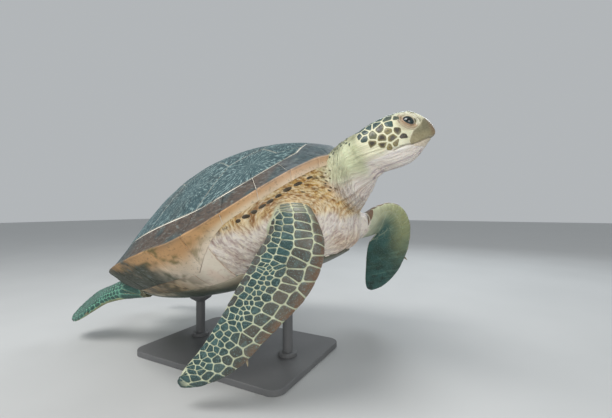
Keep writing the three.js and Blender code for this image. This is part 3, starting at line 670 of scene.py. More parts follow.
def lip_plan(x):
    """Plan half width where the marginals' under lip ends, at body places x."""
    k = np.linspace(0.05, 0.95, 240)
    rim, seam = rim_plan(k), seam_plan(k)
    p = rim + (seam - rim) * lip_share(k)[:, None]
    order = np.argsort(p[:, 0])
    return np.interp(np.asarray(x) * L, p[order, 0], p[order, 1]) / L


def bridge_outlines(side):
    made = []
    stops = np.linspace(BRIDGE_REAR, BRIDGE_FRONT, INFRAMARGINALS + 1)
    for a, b in zip(stops, stops[1:]):
        wide = np.linspace(a + (a - 0.515) * 0.06, b + (b - 0.515) * 0.06, 6)
        inner = [(x, float(plastron_half(x))) for x in np.linspace(a, b, 6)]
        outer = [(x, float(lip_plan(x))) for x in wide]
        made.append(np.array([(x, side * y) for x, y in inner + outer[::-1]]) * L)
    return made


def blots(plan, coarse, coarse_seed, fine, fine_seed, weight, low, high):
    """Irregular stains, 0 to 1, from coarse noise whose outlines finer noise breaks up."""
    return ramp(noise_on(plan, coarse, coarse_seed) + noise_on(plan, fine, fine_seed) * weight, low, high)


def plastron_tint(share, plan):
    """Cream and pink, with stains towards the rear and painted shade, dark green, along the middle, which
    faces down.
    """
    s = plan[:, 0] / L
    out = np.abs(plan[:, 1]) / (0.26 * L)
    stain = blots(plan, (80, 60, 40), 43, 20, 44, 0.45, 0.0, 0.75)
    mottle = blots(plan, (46, 34, 40), 46, 12, 50, 0.4, -0.25, 0.45)
    soiled = blots(plan, (50, 40, 40), 52, 12, 53, 0.5, -0.6, 0.3)
    # Painted shade: the middle of the plastron, which faces down, darkened to dark green.
    deep = ramp(-out + noise_on(plan, 60, 45) * 0.12, -1.06, -0.70)
    return layered(CREAM, (PINKISH, ramp(noise_on(plan, 70, 41), -0.3, 0.6) * 0.6),
                   (BONE, ramp(out, 0.75, 1.1) * 0.7),
                   (OLIVE, stain * ramp(-s, -0.85, -0.45) * 0.65),
                   (TAN, ramp(s, 0.8, 0.93) * 0.6),
                   ((0.085, 0.070, 0.030), mottle * ramp(-s, -0.74, -0.45) * 0.9),
                   ((0.12, 0.098, 0.042), ramp(-s, -0.66, -0.46) * soiled * 0.9),
                   ((0.045, 0.075, 0.060), deep * 0.88))


def bridge_tint(share, plan):
    """Cream and pink with fine veins, brown and mottled towards the rear."""
    s = plan[:, 0] / L
    mottle = blots(plan, (40, 30, 40), 46, 10, 50, 0.5, -0.3, 0.4)
    veins = 1 - ramp(np.abs(noise_on(plan, 26, 51)), 0.0, 0.05)
    return layered((0.77, 0.69, 0.57), (PINKISH, ramp(noise_on(plan, 30, 47), -0.2, 0.7) * 0.5),
                   ((0.27, 0.195, 0.090), ramp(-s, -0.66, -0.48) * 0.9),
                   ((0.075, 0.060, 0.025), mottle * ramp(-s, -0.69, -0.50) * 0.85),
                   ((0.46, 0.27, 0.23), veins * 0.45),
                   ((0.42, 0.24, 0.18), ramp(share, 0.97, 1.0) * 0.35))


def under_lift(share, plan):
    return noise_on(plan, 45, 48) * 0.9 + noise_on(plan, 9, 49) * 0.15


def under_shell(material):
    for name, side in (("right", -1), ("left", 1)):
        for kind, outlines, tint in (("plastron", plastron_outlines(side), plastron_tint),
                                     ("bridge", bridge_outlines(side), bridge_tint)):
            batch = Batch()
            for outline in outlines:
                edge = keep_corners(inset(outline, 0.8), 5.0)
                plate(batch, edge, on_belly, PLATE_STEPS, UNDER_LIFTS, 10, 8, under_lift, tint)
            piece = batch.build(f"horn_{kind}_{name}", material)
            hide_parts(f"{kind}_{name}")


def seam_glow(plan):
    """1 along and outside the joint between costals and marginals, 0 well inside it."""
    x = plan[:, 0] / L
    across = np.abs(plan[:, 1]) / np.maximum(seam_half_width(clamp(x, 0.08, 0.92)) * L, 1)
    return np.maximum(ramp(across, 0.90, 0.96), ramp(x, 0.885, 0.90))


def shell_bed(material):
    """The pale layer that shows as a fine line wherever two plates meet."""
    batch = Batch()
    pale = lambda share, plan: mix((0.30, 0.36, 0.33), BONE, seam_glow(plan))
    flat = lambda share, plan: np.zeros(len(plan))
    rim = rim_plan(np.linspace(0.0, 1.0, 120))
    outline = np.vstack([rim, (rim * (1, -1))[-2:0:-1]])
    shrunk = outline * 0.965 + np.array([0.5 * L, 0]) * 0.035
    shrunk[:, 0] -= 7
    plate(batch, shrunk, plain_dome, [0.0, 3.0], [-BED_DEPTH - 1, -BED_DEPTH], 30, 4, flat, pale)
    xs = np.linspace(GULAR_TO_ANAL[-1] + 0.004, GULAR_TO_ANAL[0] - 0.004, 60)
    half = plastron_half(xs)
    tied = (xs > BRIDGE_REAR) & (xs < BRIDGE_FRONT)
    half = np.where(tied, lip_plan(xs) - 0.002, half - 0.003)
    outline = np.vstack([np.column_stack([xs, half]), np.column_stack([xs, -half])[::-1]]) * L
    plate(batch, outline, plain_belly, [0.0, 3.0], [-BED_DEPTH - 1, -BED_DEPTH], 24, 6, flat, pale,
          centre=np.array([0.515 * L, 0.0]))
    for side in (-1, 1):
        ks, qs = np.linspace(0.03, 0.995, 150), np.linspace(1.02, 1.97, 14)
        p = ring_point(np.repeat(ks, len(qs)), np.tile(qs, len(ks)), side).reshape(len(ks), len(qs), 3)
        normal = grid_normals(p)
        if normal[75, 7, 2] > 0:
            normal = -normal
        add_slab(batch, p - normal * BED_DEPTH, p - normal * 5.0,
                 np.broadcast_to(np.array(BONE), (len(ks) * len(qs), 3)))
    piece = batch.build("shell_bed", material)


# ---------------------------------------------------------------- flesh forms
# Fore flippers: front edge, rear edge and thickness, from the shoulder to the tip, in mm.
FORE_RIGHT = [
    ((900, -195, -5), (800, -215, 20), 46), ((915, -207, -38), (808, -236, -16), 42),
    ((925, -223, -92), (795, -259, -50), 33), ((905, -234, -147), (768, -272, -78), 26),
    ((857, -252, -203), (744, -281, -106), 21), ((800, -271, -242), (705, -296, -148), 17),
    ((744, -290, -278), (664, -309, -194), 14), ((694, -303, -312), (626, -319, -231), 11.5),
    ((638, -317, -335), (581, -331, -270), 9), ((576, -338, -345), (544, -348, -300), 6.5),
    ((532, -352, -341), (522, -354, -326), 4)]
FORE_LEFT = [
    ((846, 228, -20), (796, 246, -106), 44), ((878, 267, -28), (834, 286, -110), 36),
    ((910, 303, -14), (858, 328, -110), 30), ((947, 343, -8), (872, 358, -108), 26),
    ((981, 377, -32), (854, 370, -119), 23), ((990, 410, -96), (822, 378, -138), 19),
    ((957, 444, -180), (793, 401, -180), 15.5), ((905, 474, -250), (766, 428, -232), 12),
    ((840, 489, -304), (742, 453, -280), 9), ((785, 497, -331), (730, 473, -310), 6),
    ((742, 497, -338), (727, 489, -328), 4)]
EDGE_HALF = 3.2              # half the thickness at a flipper's thin edge
# Hind flipper: middle, half width (shares of L) and thickness in mm, from the hip to the tip.
HIND = [(0.20, 0.115, -0.085, 0.060, 46), (0.13, 0.148, -0.080, 0.052, 38),
        (0.07, 0.172, -0.084, 0.043, 29), (0.02, 0.182, -0.090, 0.042, 21),
        (-0.03, 0.189, -0.100, 0.054, 15), (-0.08, 0.195, -0.111, 0.062, 11),
        (-0.125, 0.200, -0.123, 0.054, 8), (-0.157, 0.204, -0.131, 0.034, 6),
        (-0.172, 0.206, -0.135, 0.010, 4)]
# Round forms: middle, half width and half height, in mm.
NECK = [(820, 0, 8, 140, 92), (880, -15, 34, 112, 90), (940, -36, 62, 92, 79),
        (975, -47, 83, 79, 73), (1010, -60, 97, 66, 66), (1050, -70, 104, 58, 58)]
SHOULDER_RIGHT = [(700, -105, 0, 85, 80), (770, -150, -8, 88, 78), (825, -188, -16, 72, 62),
                  (856, -212, -24, 48, 40)]
SHOULDER_LEFT = [(690, 105, 0, 85, 80), (755, 155, -15, 86, 74), (808, 205, -45, 66, 60),
                 (850, 262, -66, 47, 44)]
TAIL = [(120, 0, -85, 42, 26), (40, 0, -80, 30, 20), (-20, 0, -84, 18, 14), (-62, 0, -94, 6, 5)]

HEAD_CENTRE = np.array([1097.0, -65, 111])
HEAD_AXIS = unit(np.array([0.98, 0.18, 0.06]))
HEAD_LEFT = unit(np.cross((0, 0, 1), HEAD_AXIS))
HEAD_UP = np.cross(HEAD_AXIS, HEAD_LEFT)
HEAD_FRAME = np.array([HEAD_AXIS, HEAD_LEFT, HEAD_UP])
HEAD_PROFILE = [   # forward, crown, chin, half width
    (-92, 40, -44, 52), (-62, 52, -55, 60), (-30, 59, -64, 65), (0, 61.5, -66.5, 66),
    (25, 61, -64.5, 61), (45, 58.5, -57.5, 53), (62, 53, -46, 44), (76, 42, -34, 35),
    (88, 28, -26, 25.5), (96, 14, -21, 15), (100.5, 2, -16, 7)]
HEAD_POWER = 2.25            # 2 would make the head's sections plain ellipses
EYE_RADIUS = 17.0
EYE_AT = np.array([48.5, 32.5, 22.3])    # forward, sideways, up in the head's own frame
MOUTH_LEVEL, MOUTH_BACK = -31.0, -4.0


def in_head(p):
    """Head coordinates (forward, left, up) of body points."""
    return (np.asarray(p) - HEAD_CENTRE) @ HEAD_FRAME.T


def from_head(p):
    return np.asarray(p) @ HEAD_FRAME + HEAD_CENTRE


def oval(centre, side, up, a, b, f, power):
    """Rings of half width a and half height b round a line of centres."""
    c, s = np.cos(f), np.sin(f)
    q = (np.abs(c)**power + np.abs(s)**power)**(-1 / power)
    return (centre[:, None] + side[:, None] * (a[:, None] * c * q)[..., None]
            + up[:, None] * (b[:, None] * s * q)[..., None])


def tube(stations, count, steps):
    s = np.array(stations, float)
    u = np.linspace(0, 1, steps + 1)
    centre = catmull(s[:, :3], u)
    size = catmull(np.column_stack([s[:, 3:], np.zeros(len(s))]), u)
    t = unit(catmull(s[:, :3], np.minimum(1, u + 1e-3)) - catmull(s[:, :3], np.maximum(0, u - 1e-3)))
    side = unit(np.cross((0, 0, 1), t))
    f = round_turn(count)
    return oval(centre, side, np.cross(t, side), size[:, 0], size[:, 1], f, 2)


def blade(stations, count, steps):
    """Rings round a flipper, from the front edge over the upper side to the rear edge and back."""
    lead = np.array([s[0] for s in stations], float)
    trail = np.array([s[1] for s in stations], float)
    thick = np.array([(s[2], i * 10, 0) for i, s in enumerate(stations)], float)
    u = np.linspace(0, 1, steps + 1)
    a, b, h = catmull(lead, u), catmull(trail, u), catmull(thick, u)[:, 0]
    ahead, behind = np.minimum(1, u + 0.03), np.maximum(0, u - 0.03)
    run = catmull(lead, ahead) + catmull(trail, ahead) - catmull(lead, behind) - catmull(trail, behind)
    mid, chord = (a + b) / 2, (a - b) / 2
    normal = unit(np.cross(run, chord))
    f = round_turn(count)
    c, s = np.cos(f), np.sin(f) * (0.72 + 0.3 * np.cos(f))
    rim = EDGE_HALF * np.sign(np.sin(f)) * np.sqrt(1 - np.abs(c)**12)
    offset = h[:, None] * s * 0.92 + rim
    return mid[:, None] + chord[:, None] * c[:, None] + normal[:, None] * offset[..., None]


def hind_stations(side):
    lateral = unit(np.array([0.10, side * 0.74, -0.66])) * L
    middles = [np.array([x, side * y, z]) * L for x, y, z, _, _ in HIND]
    return [(c + lateral * row[3], c - lateral * row[3], row[4]) for c, row in zip(middles, HIND)]


def head_body():
    p = np.array(HEAD_PROFILE, float)
    u = np.linspace(0, 1, 61)
    rows = catmull(p[:, :3], u)
    width = catmull(np.column_stack([p[:, 0], p[:, 3], p[:, 0] * 0]), u)[:, 1]
    centre = from_head(np.column_stack([rows[:, 0], rows[:, 0] * 0, (rows[:, 1] + rows[:, 2]) / 2]))
    side, up = (np.broadcast_to(v, centre.shape) for v in (HEAD_LEFT, HEAD_UP))
    rings = oval(centre, side, up, width, (rows[:, 1] - rows[:, 2]) / 2, round_turn(64), HEAD_POWER)
    points, faces = loft(rings)
    points[-2], points[-1] = from_head((-97, 0, -2)), from_head((101.5, 0, -8))
    return points, faces


def trunk_block(s0, s1):
    """Closed slice of the body inside the shell, whose ends and top the shell hides."""
    rings = []
    for s in np.linspace(s0, s1, 26):
        x = SKIN_RECESS + s * (L - 2 * SKIN_RECESS)
        w = float(half_width(s)) * (1 - SKIN_RECESS / L * 2.55)
        zr, zc, zb = (float(f(np.array(s))) for f in (rim_height, crown_height, belly_height))
        zc = zr + max(1.0, min(zc - zr - SKIN_RECESS, 45.0))
        zb = min(zb + SKIN_RECESS, zr - 1)
        t = np.cos(np.linspace(0, np.pi, 30, endpoint=False))
        above = np.column_stack([np.full(30, x), -w * t, zr + (zc - zr) * bulge(t, DOME_CURVE)])
        below = np.column_stack([np.full(30, x), w * t, zr + (zb - zr) * bulge(t, BELLY_CURVE)])
        rings.append(np.vstack([above, below]))
    return loft(np.array(rings))


FRONT_BLOCK, REAR_BLOCK = (0.60, 0.985), (0.015, 0.36)
CORE = [(300, 0, -60, 90, 50), (600, 0, -50, 100, 60)]
THIN_SETS = {"fore_right": FORE_RIGHT, "fore_left": FORE_LEFT,
             "hind_right": hind_stations(-1), "hind_left": hind_stations(1)}


def flesh_bodies():
    bodies = [trunk_block(*FRONT_BLOCK), trunk_block(*REAR_BLOCK), head_body()]
    bodies += [loft(tube(s, 40, 24)) for s in (NECK, SHOULDER_RIGHT, SHOULDER_LEFT, TAIL, CORE)]
    bodies += [loft(blade(s, 64, 70)) for s in THIN_SETS.values()]
    batch = Batch()
    for points, faces in bodies:
        batch.add(points, faces, (0, 0, 0))
    return np.vstack(batch.points), batch.faces


# ---------------------------------------------------------------- mesh arithmetic
def read_mesh(mesh):
    points = np.empty(len(mesh.vertices) * 3)
    mesh.vertices.foreach_get("co", points)
    edges = np.empty(len(mesh.edges) * 2, np.int32)
    mesh.edges.foreach_get("vertices", edges)
    return points.reshape(-1, 3), edges.reshape(-1, 2)


def neighbour_mean(points, edges):
    n = len(points)
    a, b = edges[:, 0], edges[:, 1]
    degree = np.bincount(a, minlength=n) + np.bincount(b, minlength=n)
    total = np.column_stack([np.bincount(a, points[b, i], n) + np.bincount(b, points[a, i], n)
                             for i in range(points.shape[1])])
    return total / np.maximum(degree, 1)[:, None]


def smoothed(points, edges, rounds, weight=1.0, keep_volume=True):
    p = points.copy()
    w = np.broadcast_to(weight, (len(p),))[:, None]
    for _ in range(rounds):
        p += (neighbour_mean(p, edges) - p) * 0.5 * w
        if keep_volume:
            p -= (neighbour_mean(p, edges) - p) * 0.52 * w
    return p


def write_points(mesh, points):
    mesh.vertices.foreach_set("co", points.ravel())
    mesh.update()


def vertex_normals(mesh):
    flat = np.empty(len(mesh.vertices) * 3)
    mesh.vertex_normals.foreach_get("vector", flat)
    return flat.reshape(-1, 3)


def applied(obj):
    """The mesh with its modifiers worked in, and the modifiers gone."""
    graph = bpy.context.evaluated_depsgraph_get()
    graph.update()
    mesh = bpy.data.meshes.new_from_object(obj.evaluated_get(graph))
    old = obj.data
    obj.modifiers.clear()
    obj.data = mesh
    bpy.data.meshes.remove(old)
    return mesh


def nearest_lookup(points):
    tree = KDTree(len(points))
    for i, p in enumerate(points):
        tree.insert(p, i)
    tree.balance()
    return tree


# ---------------------------------------------------------------- flipper charts
CHART_ROWS, CHART_COLUMNS = 130, 96


class Chart:
    """A flipper's skin laid flat: a along it, b round it from the front edge, in mm.

    b is positive on the upper side and negative on the under side, and the rear edge is at
    plus and minus reach(a).
    """

    def __init__(self, stations, upper):
        rings = blade(stations, 2 * CHART_COLUMNS, CHART_ROWS)
        half = CHART_COLUMNS
        forward = np.concatenate([rings, rings[:, :1]], 1)
        first, second = forward[:, :half + 1], forward[:, half:][:, ::-1]
        middle = (first[:, half // 2] - second[:, half // 2]).mean(0)
        if middle @ np.asarray(upper, float) < 0:
            first, second = second, first
        self.reach = np.linalg.norm(np.diff(first, axis=1), axis=2).sum(1)
        self.run = run_along(first[:, half // 2])
        self.length = self.run[-1]
        self.grid = np.concatenate([self.even(second)[:, :0:-1], self.even(first)], 1)
        self.normal = grid_normals(self.grid)
        if np.sum(self.normal[CHART_ROWS // 2, int(self.grid.shape[1] * 0.75)] * upper) < 0:
            self.normal = -self.normal

    def even(self, rows):
        """Points of each row spread evenly from the front edge to the rear one."""
        out = np.empty_like(rows)
        for i, row in enumerate(rows):
            t = run_along(row)
            even = np.linspace(0, t[-1], len(row))
            out[i] = np.stack([np.interp(even, t, row[:, k]) for k in range(3)], -1)
        return out

    def reach_at(self, a):
        return np.interp(a, self.run, self.reach)

    def lookup(self, plan):
        """Point and outward normal at chart places (a, b)."""
        row = np.interp(plan[:, 0], self.run, np.arange(len(self.run)))
        share = np.clip(plan[:, 1] / self.reach_at(plan[:, 0]), -1, 1)
        column = (share + 1) * CHART_COLUMNS
        return bilinear(self.grid, row, column), unit(bilinear(self.normal, row, column))


def bilinear(grid, row, column):
    r = np.clip(np.floor(row).astype(int), 0, grid.shape[0] - 2)
    c = np.clip(np.floor(column).astype(int), 0, grid.shape[1] - 2)
    fr, fc = (row - r)[:, None], (column - c)[:, None]
    return ((grid[r, c] * (1 - fr) + grid[r + 1, c] * fr) * (1 - fc)
            + (grid[r, c + 1] * (1 - fr) + grid[r + 1, c + 1] * fr) * fc)


CHARTS = {
    "fore_right": Chart(FORE_RIGHT, (0.2, -1, 0.1)),
    "fore_left": Chart(FORE_LEFT, (0.2, 1, 0.3)),
    "hind_right": Chart(THIN_SETS["hind_right"], (0, -0.66, 0.74)),
    "hind_left": Chart(THIN_SETS["hind_left"], (0, 0.66, 0.74)),
}

# ---------------------------------------------------------------- skin colours (linear)
OCHRE = (0.700, 0.460, 0.150)
OCHRE_DARK = (0.470, 0.270, 0.075)
MILK = (0.800, 0.740, 0.680)
FLESH = (0.640, 0.440, 0.360)
REED = (0.560, 0.600, 0.400)
NAPE = (0.150, 0.160, 0.070)
SEAM_PALE = (0.520, 0.560, 0.400)
SEAM_CREAM = (0.700, 0.690, 0.500)
SEAM_HIND = (0.200, 0.500, 0.360)


def spot(p, centre, radius):
    """1 at the centre, 0 beyond the radius."""
    return 1 - ramp(np.linalg.norm(p - np.asarray(centre, float), axis=1), radius * 0.45, radius)


ARMPIT_RIGHT, ARMPIT_LEFT = (845.0, -15.0), (822.0, -62.0)      # forward and up


def creased(value, width, depth):
    """Turns smooth noise into rounded folds with narrow creases between them."""
    return (np.abs(value) * -2 + width) * depth


def around_armpit(p):
    """Places round the shoulder: along the folds that circle it, away from it, and across."""
    right = p[:, 1] < 0
    dx = p[:, 0] - np.where(right, ARMPIT_RIGHT[0], ARMPIT_LEFT[0])
    dz = p[:, 2] - np.where(right, ARMPIT_RIGHT[1], ARMPIT_LEFT[1])
    away = np.hypot(dx, dz * 1.25) + noise(p, 45, 62) * 9
    return np.column_stack([np.arctan2(dx, dz) * 110, away, p[:, 1]])


def round_neck(p):
    """Distance round the neck's axis, in mm."""
    return np.arctan2(p[:, 1] + 45, p[:, 2] - 70) * 95


def fold_flow(p):
    """Coordinates that run along the folds (first) and across them (second), in mm."""
    ahead = in_head(p)[:, 0]
    neck = np.column_stack([ahead, round_neck(p), ahead * 0])
    return mix(around_armpit(p), neck, ramp(p[:, 0], 930, 990))


def fold_field(p):
    """Height of the loose folds, in mm, and how creased the skin is, 0 to 1."""
    x, z, turn = p[:, 0], p[:, 2], round_neck(p)
    neck = ramp(x, 860, 940) * (1 - ramp(in_head(p)[:, 0], -80, -50))
    long_folds = creased(noise(np.column_stack([x, turn, z * 0]), (90, 8.5, 50), 61), 0.8, 2.8)
    cross_folds = creased(noise(np.column_stack([x + z * 0.4, turn, z * 0]), (9, 50, 50), 66), 0.7, 0.8)
    throat = ramp(-z, -95, -20) * neck
    pocket = (1 - ramp(x, 885, 955)) * ramp(x, 640, 700)
    q = around_armpit(p)
    wide = creased(noise(q, (130, 8.5, 90), 63), 0.8, 4.0)
    fine = creased(noise(q, (30, 4.6, 50), 64), 0.7, 0.9)
    rear = 1 - ramp(x, 120, 250)
    rear_folds = creased(noise(p, (16, 30, 12), 65), 0.8, 1.0) * rear
    height = long_folds * throat + cross_folds * (neck - throat) + (wide + fine) * pocket + rear_folds
    height = height * (0.55 + 0.45 * ramp(noise(p, 60, 67), -0.5, 0.4))
    return height, clamp(-height / 1.8)


UNDER_SCALES = 1.1           # how far the skin of a flipper lies under its scales
THROAT_AT = np.array([-56.0, -10, -72])     # loose fold under the jaw, in the head's frame


def throat_flap(h):
    """The wrinkled fold of loose skin under the throat: how surely, and its rings, -1 to 1."""
    off = h - THROAT_AT
    bulge = np.exp(-(off[:, 0] / 20)**2 - (off[:, 1] / 26)**2 - (off[:, 2] / 22)**2)
    return bulge, np.cos(off[:, 2] * 0.60 - off[:, 0] * 0.25 + noise(h, 20, 60) * 1.5)


def pocket_weight(p):
    """1 in the ochre folds above the fore flippers, 0 on the pale skin round them."""
    x, z = p[:, 0], p[:, 2]
    q = around_armpit(p)
    low = ramp(noise(p, 40, 72) * 22 - z + (770 - x) * 0.12, -10, 28)
    near_arm = 1 - ramp(q[:, 1] + noise(p, 30, 79) * 12, 62, 100)
    ahead = ramp(x + z * 0.3 + noise(p, 30, 69) * 12, 935, 985)
    return clamp(1 - low - near_arm * 0.2) * (1 - ahead)


def skin_tint(p, chart_name, a, b, near, crease, fold):
    """Colour of the skin, by place; near is 1 on a flipper and 0 off it."""
    x, z = p[:, 0], p[:, 2]
    h, pocket = in_head(p), pocket_weight(p)
    breast = ramp(x, 850, 930) * ramp(-z + noise(p, 30, 68) * 14, 62, 122)
    bulge_share, rings = throat_flap(h)
    shadow = mix((0.72, 0.64, 0.62), (0.50, 0.34, 0.22), pocket)
    colour = layered(trunk_tint(p, pocket, fold),
                     (neck_tint(p), ramp(x + z * 0.3 + noise(p, 30, 69) * 12, 925, 975)),
                     ((0.600, 0.390, 0.200), breast * 0.8),
                     (face_tint(p, h), ramp(h[:, 0], -88, -58)),
                     # Painted shade in the troughs between the throat fold's rings.
                     ((0.34, 0.26, 0.30), ramp(bulge_share, 0.15, 0.6) * ramp(-rings, 0.2, 0.9) * 0.8))
    colour = mix(colour, colour * shadow, crease * 0.85)
    for i, (name, chart) in enumerate(CHARTS.items()):
        here = chart_name == i
        along, share = a[here] / chart.length, b[here] / chart.reach_at(a[here])
        top = SEAM_PALE if name.startswith("fore") else SEAM_HIND
        limb = layered(flipper_under_tint(p[here], along, share), (top, ramp(share, -0.12, 0.02)),
                       ((0.020, 0.050, 0.050), ramp(along, 0.962, 0.985)))
        colour[here] = mix(colour[here], limb, near[here])
    return clamp(colour, 0.0, 1.0)


def trunk_tint(p, pocket, fold):
    """Milky skin, ochre in the shoulder's folds with painted highlights on the fold ridges and dark spots,
    olive behind.
    """
    q = around_armpit(p)
    spots = ramp(noise(q, (9, 4.5, 40), 78), 0.28, 0.5) * ramp(q[:, 1], 70, 120)
    gold = layered(OCHRE, (OCHRE_DARK, ramp(noise(p, (30, 30, 12), 71), -0.1, 0.7) * 0.6),
                   # Painted highlight on the raised fold ridges.
                   ((0.80, 0.66, 0.40), ramp(fold, 0.2, 1.5) * 0.7),
                   ((0.085, 0.055, 0.022), spots * 0.8))
    rear = mix((0.30, 0.28, 0.15), (0.10, 0.11, 0.06), ramp(noise(p, 30, 74), -0.2, 0.6))
    return layered(MILK, (FLESH, ramp(noise(p, 30, 73), 0.2, 0.8) * 0.25),
                   (gold, pocket), (rear, 1 - ramp(p[:, 0], 200, 420)))


def neck_tint(p):
    """Milky below, reed green at the sides, dark on the nape."""
    level = (p[:, 2] - 80) / 70
    mottle = ramp(noise(p, (14, 14, 9), 76), 0.1, 0.6) * ramp(level, -0.2, 0.5)
    return layered(MILK, (REED, ramp(level + noise(p, 40, 75) * 0.2, -0.75, -0.1)),
                   ((0.36, 0.40, 0.22), mottle * 0.5),
                   (NAPE, ramp(level + noise(p, 16, 76) * 0.3, 0.62, 1.15) * 0.8))


def face_tint(p, h):
    """Cream face with a white lip, a dark gape and eye socket, and a wrinkled chin."""
    ahead, side, up = h[:, 0], np.abs(h[:, 1]), h[:, 2]
    off_gape = up - mouth_level(ahead)
    gape = np.exp(-(off_gape / 1.5)**2) * ramp(ahead, MOUTH_BACK - 3, MOUTH_BACK + 5)
    socket = 1 - ramp(np.hypot(ahead - EYE_AT[0], (up - EYE_AT[2]) * 1.1), 20, 31)
    lores = spot(np.column_stack([ahead, side, up]), (70, 38, 14), 20)
    wrinkle = ramp(noise(np.column_stack([ahead * 0.15, h[:, 1], up]), (9, 5, 5), 101), 0.15, 0.6)
    return layered(MILK, (SEAM_CREAM, ramp(up + noise(p, 20, 77) * 5, -44, -20)),
                   ((0.30, 0.42, 0.34), ramp(up, 38, 62) * 0.5),
                   ((0.84, 0.80, 0.76), ramp(-off_gape, 1, 3) * ramp(off_gape, -11, -7) * 0.7),
                   ((0.20, 0.16, 0.13), gape * 0.85),
                   ((0.42, 0.37, 0.25), socket * ramp(side, 22, 32) * 0.7),
                   ((0.24, 0.22, 0.14), lores * 0.7),
                   ((0.40, 0.32, 0.36), wrinkle * ramp(-up, 36, 46) * 0.55))


def flipper_under_tint(p, u, share):
    """The under side: pale by the front edge and the arm, dark green blade."""
    front = ramp(-np.abs(share) + noise(p, 40, 83) * 0.06, -0.62, -0.12)
    pale = mix((0.56, 0.58, 0.42), (0.36, 0.38, 0.17), ramp(u, 0.05, 0.40))
    spots = ramp(noise(p, (15, 15, 9), 84), 0.25, 0.6) * ramp(u, 0.62, 0.80)
    return layered((0.030, 0.110, 0.095), ((0.022, 0.070, 0.050), ramp(noise(p, 34, 81), -0.3, 0.5)),
                   ((0.10, 0.22, 0.17), ramp(noise(p, (60, 60, 9), 82), 0.3, 0.8) * 0.5),
                   (pale, clamp(front * (1 - ramp(u, 0.30, 0.80)) + 1 - ramp(u, 0.06, 0.36))),
                   ((0.012, 0.030, 0.024), spots * 0.7))


# ---------------------------------------------------------------- the skin itself
def build_skin(material):
    obj = mesh_object("turtle_skin", *flesh_bodies())
    remesh = obj.modifiers.new("weld", "REMESH")
    remesh.mode = "VOXEL"
    remesh.voxel_size = VOXEL
    mesh = applied(obj)
    points, edges = read_mesh(mesh)
    blend = joint_weight(points)
    points = smoothed(points, edges, 6)
    points = smoothed(points, edges, 22, blend, keep_volume=False)
    write_points(mesh, points)
    thin_out(obj, points)
    mesh = obj.data
    refine_head(mesh)
    points, edges = read_mesh(mesh)
    ahead = in_head(points)[:, 0]
    points = smoothed(points, edges, 3, ramp(ahead, -110, -90))
    nape = ramp(ahead, -135, -110) * (1 - ramp(ahead, -80, -62))
    points = smoothed(points, edges, 14, nape, keep_volume=False)
    write_points(mesh, points)
    chart_name, a, b, near = place_on_charts(points)
    height, crease = fold_field(points)
    on_limb = np.where(chart_name >= 0, near, 0.0)
    body = clamp(1 - on_limb)
    lift = height * body * (1 - ramp(in_head(points)[:, 0], -90, -60))
    lift = lift - on_limb * UNDER_SCALES + head_relief(points)
    points = points + vertex_normals(mesh) * lift[:, None]
    tree = BVHTree.FromPolygons([Vector(p) for p in points], [tuple(q.vertices) for q in mesh.polygons])
    write_points(mesh, to_world(points))
    mesh.polygons.foreach_set("use_smooth", np.ones(len(mesh.polygons), bool))
    store_tint(mesh, skin_tint(points, chart_name, a, b, near, crease * body, height))
    store(mesh, "flow", "FLOAT_VECTOR", fold_flow(points))
    calm = 0.7 * ramp(points[:, 0], 930, 985) * ramp(points[:, 2], 0, 60)
    soft = body * (1 - calm) * (1 - ramp(in_head(points)[:, 0], -70, -30))
    store(mesh, "softness", "FLOAT", soft)
    store(mesh, "pocket", "FLOAT", pocket_weight(points))
    mesh.materials.clear()
    mesh.materials.append(material)
    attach(obj, "root")
    flesh = [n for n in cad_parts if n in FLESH_NODES]
    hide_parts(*flesh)
    print("skin", len(points), "points", len(mesh.polygons), "faces")
    return tree


FLESH_NODES = ("trunk", "neck", "head", "jaw_lower", "fore_right_arm", "fore_right_hand",
               "fore_left_arm", "fore_left_hand", "hind_right_leg", "hind_right_paddle",
               "hind_left_leg", "hind_left_paddle", "tail")


# Middle and radius of the places where limbs, neck, head and tail grow out of their neighbours.
JOINS = {"shoulders": [((840, -195, -20), 130), ((830, 225, -50), 120)],
         "neck": [((880, -20, 60), 150), ((1000, -58, 95), 86), ((905, -60, -40), 120)],
         "rear": [((150, -120, -80), 100), ((150, 120, -80), 100), ((60, 0, -85), 70)]}


def joint_weight(p):
    """Where limbs and neck grow out of the trunk, the skin is drawn smooth."""
    return clamp(sum(sum(spot(p, centre, radius) for centre, radius in group) for group in JOINS.values()))


def hidden_weight(p):
    """1 where shell plates cover the skin for good."""
    s = p[:, 0] / L
    high = ramp(p[:, 2] - rim_height(clamp(s)), -2, 14) * (1 - ramp(p[:, 0], 860, 900))
    under = (np.abs(p[:, 1]) < (plastron_half(s) - 0.02) * L) & (p[:, 2] < -20) & (s > 0.13) & (s < 0.88)
    deep = (s > 0.37) & (s < 0.66)
    return clamp(high + under + deep)


def thin_out(obj, points):
    """Thins the mesh most where the shell hides it, then on the flippers, least on the head."""
    group = obj.vertex_groups.new(name="sparse")
    near = place_on_charts(points)[3]
    head = ramp(in_head(points)[:, 0], -100, -80)
    weight = BODY_SPARSE + (LIMB_SPARSE - BODY_SPARSE) * near
    weight += (HEAD_SPARSE - weight) * head
    weight += (1 - weight) * hidden_weight(points)
    steps = np.round(weight * 20) / 20
    for level in np.unique(steps):
        group.add(np.nonzero(steps == level)[0].tolist(), float(level), "REPLACE")
    faces = sum(len(q.vertices) - 2 for q in obj.data.polygons)
    thin = obj.modifiers.new("thin", "DECIMATE")
    thin.decimate_type = "COLLAPSE"
    thin.vertex_group = "sparse"
    thin.vertex_group_factor = 1.0
    thin.ratio = min(1.0, (SKIN_TRIANGLES - REFINED_HEAD) / faces)
    applied(obj)


BODY_SPARSE, LIMB_SPARSE, HEAD_SPARSE = 0.60, 0.75, 0.35
REFINED_HEAD = 78000         # triangles that refine_head() adds


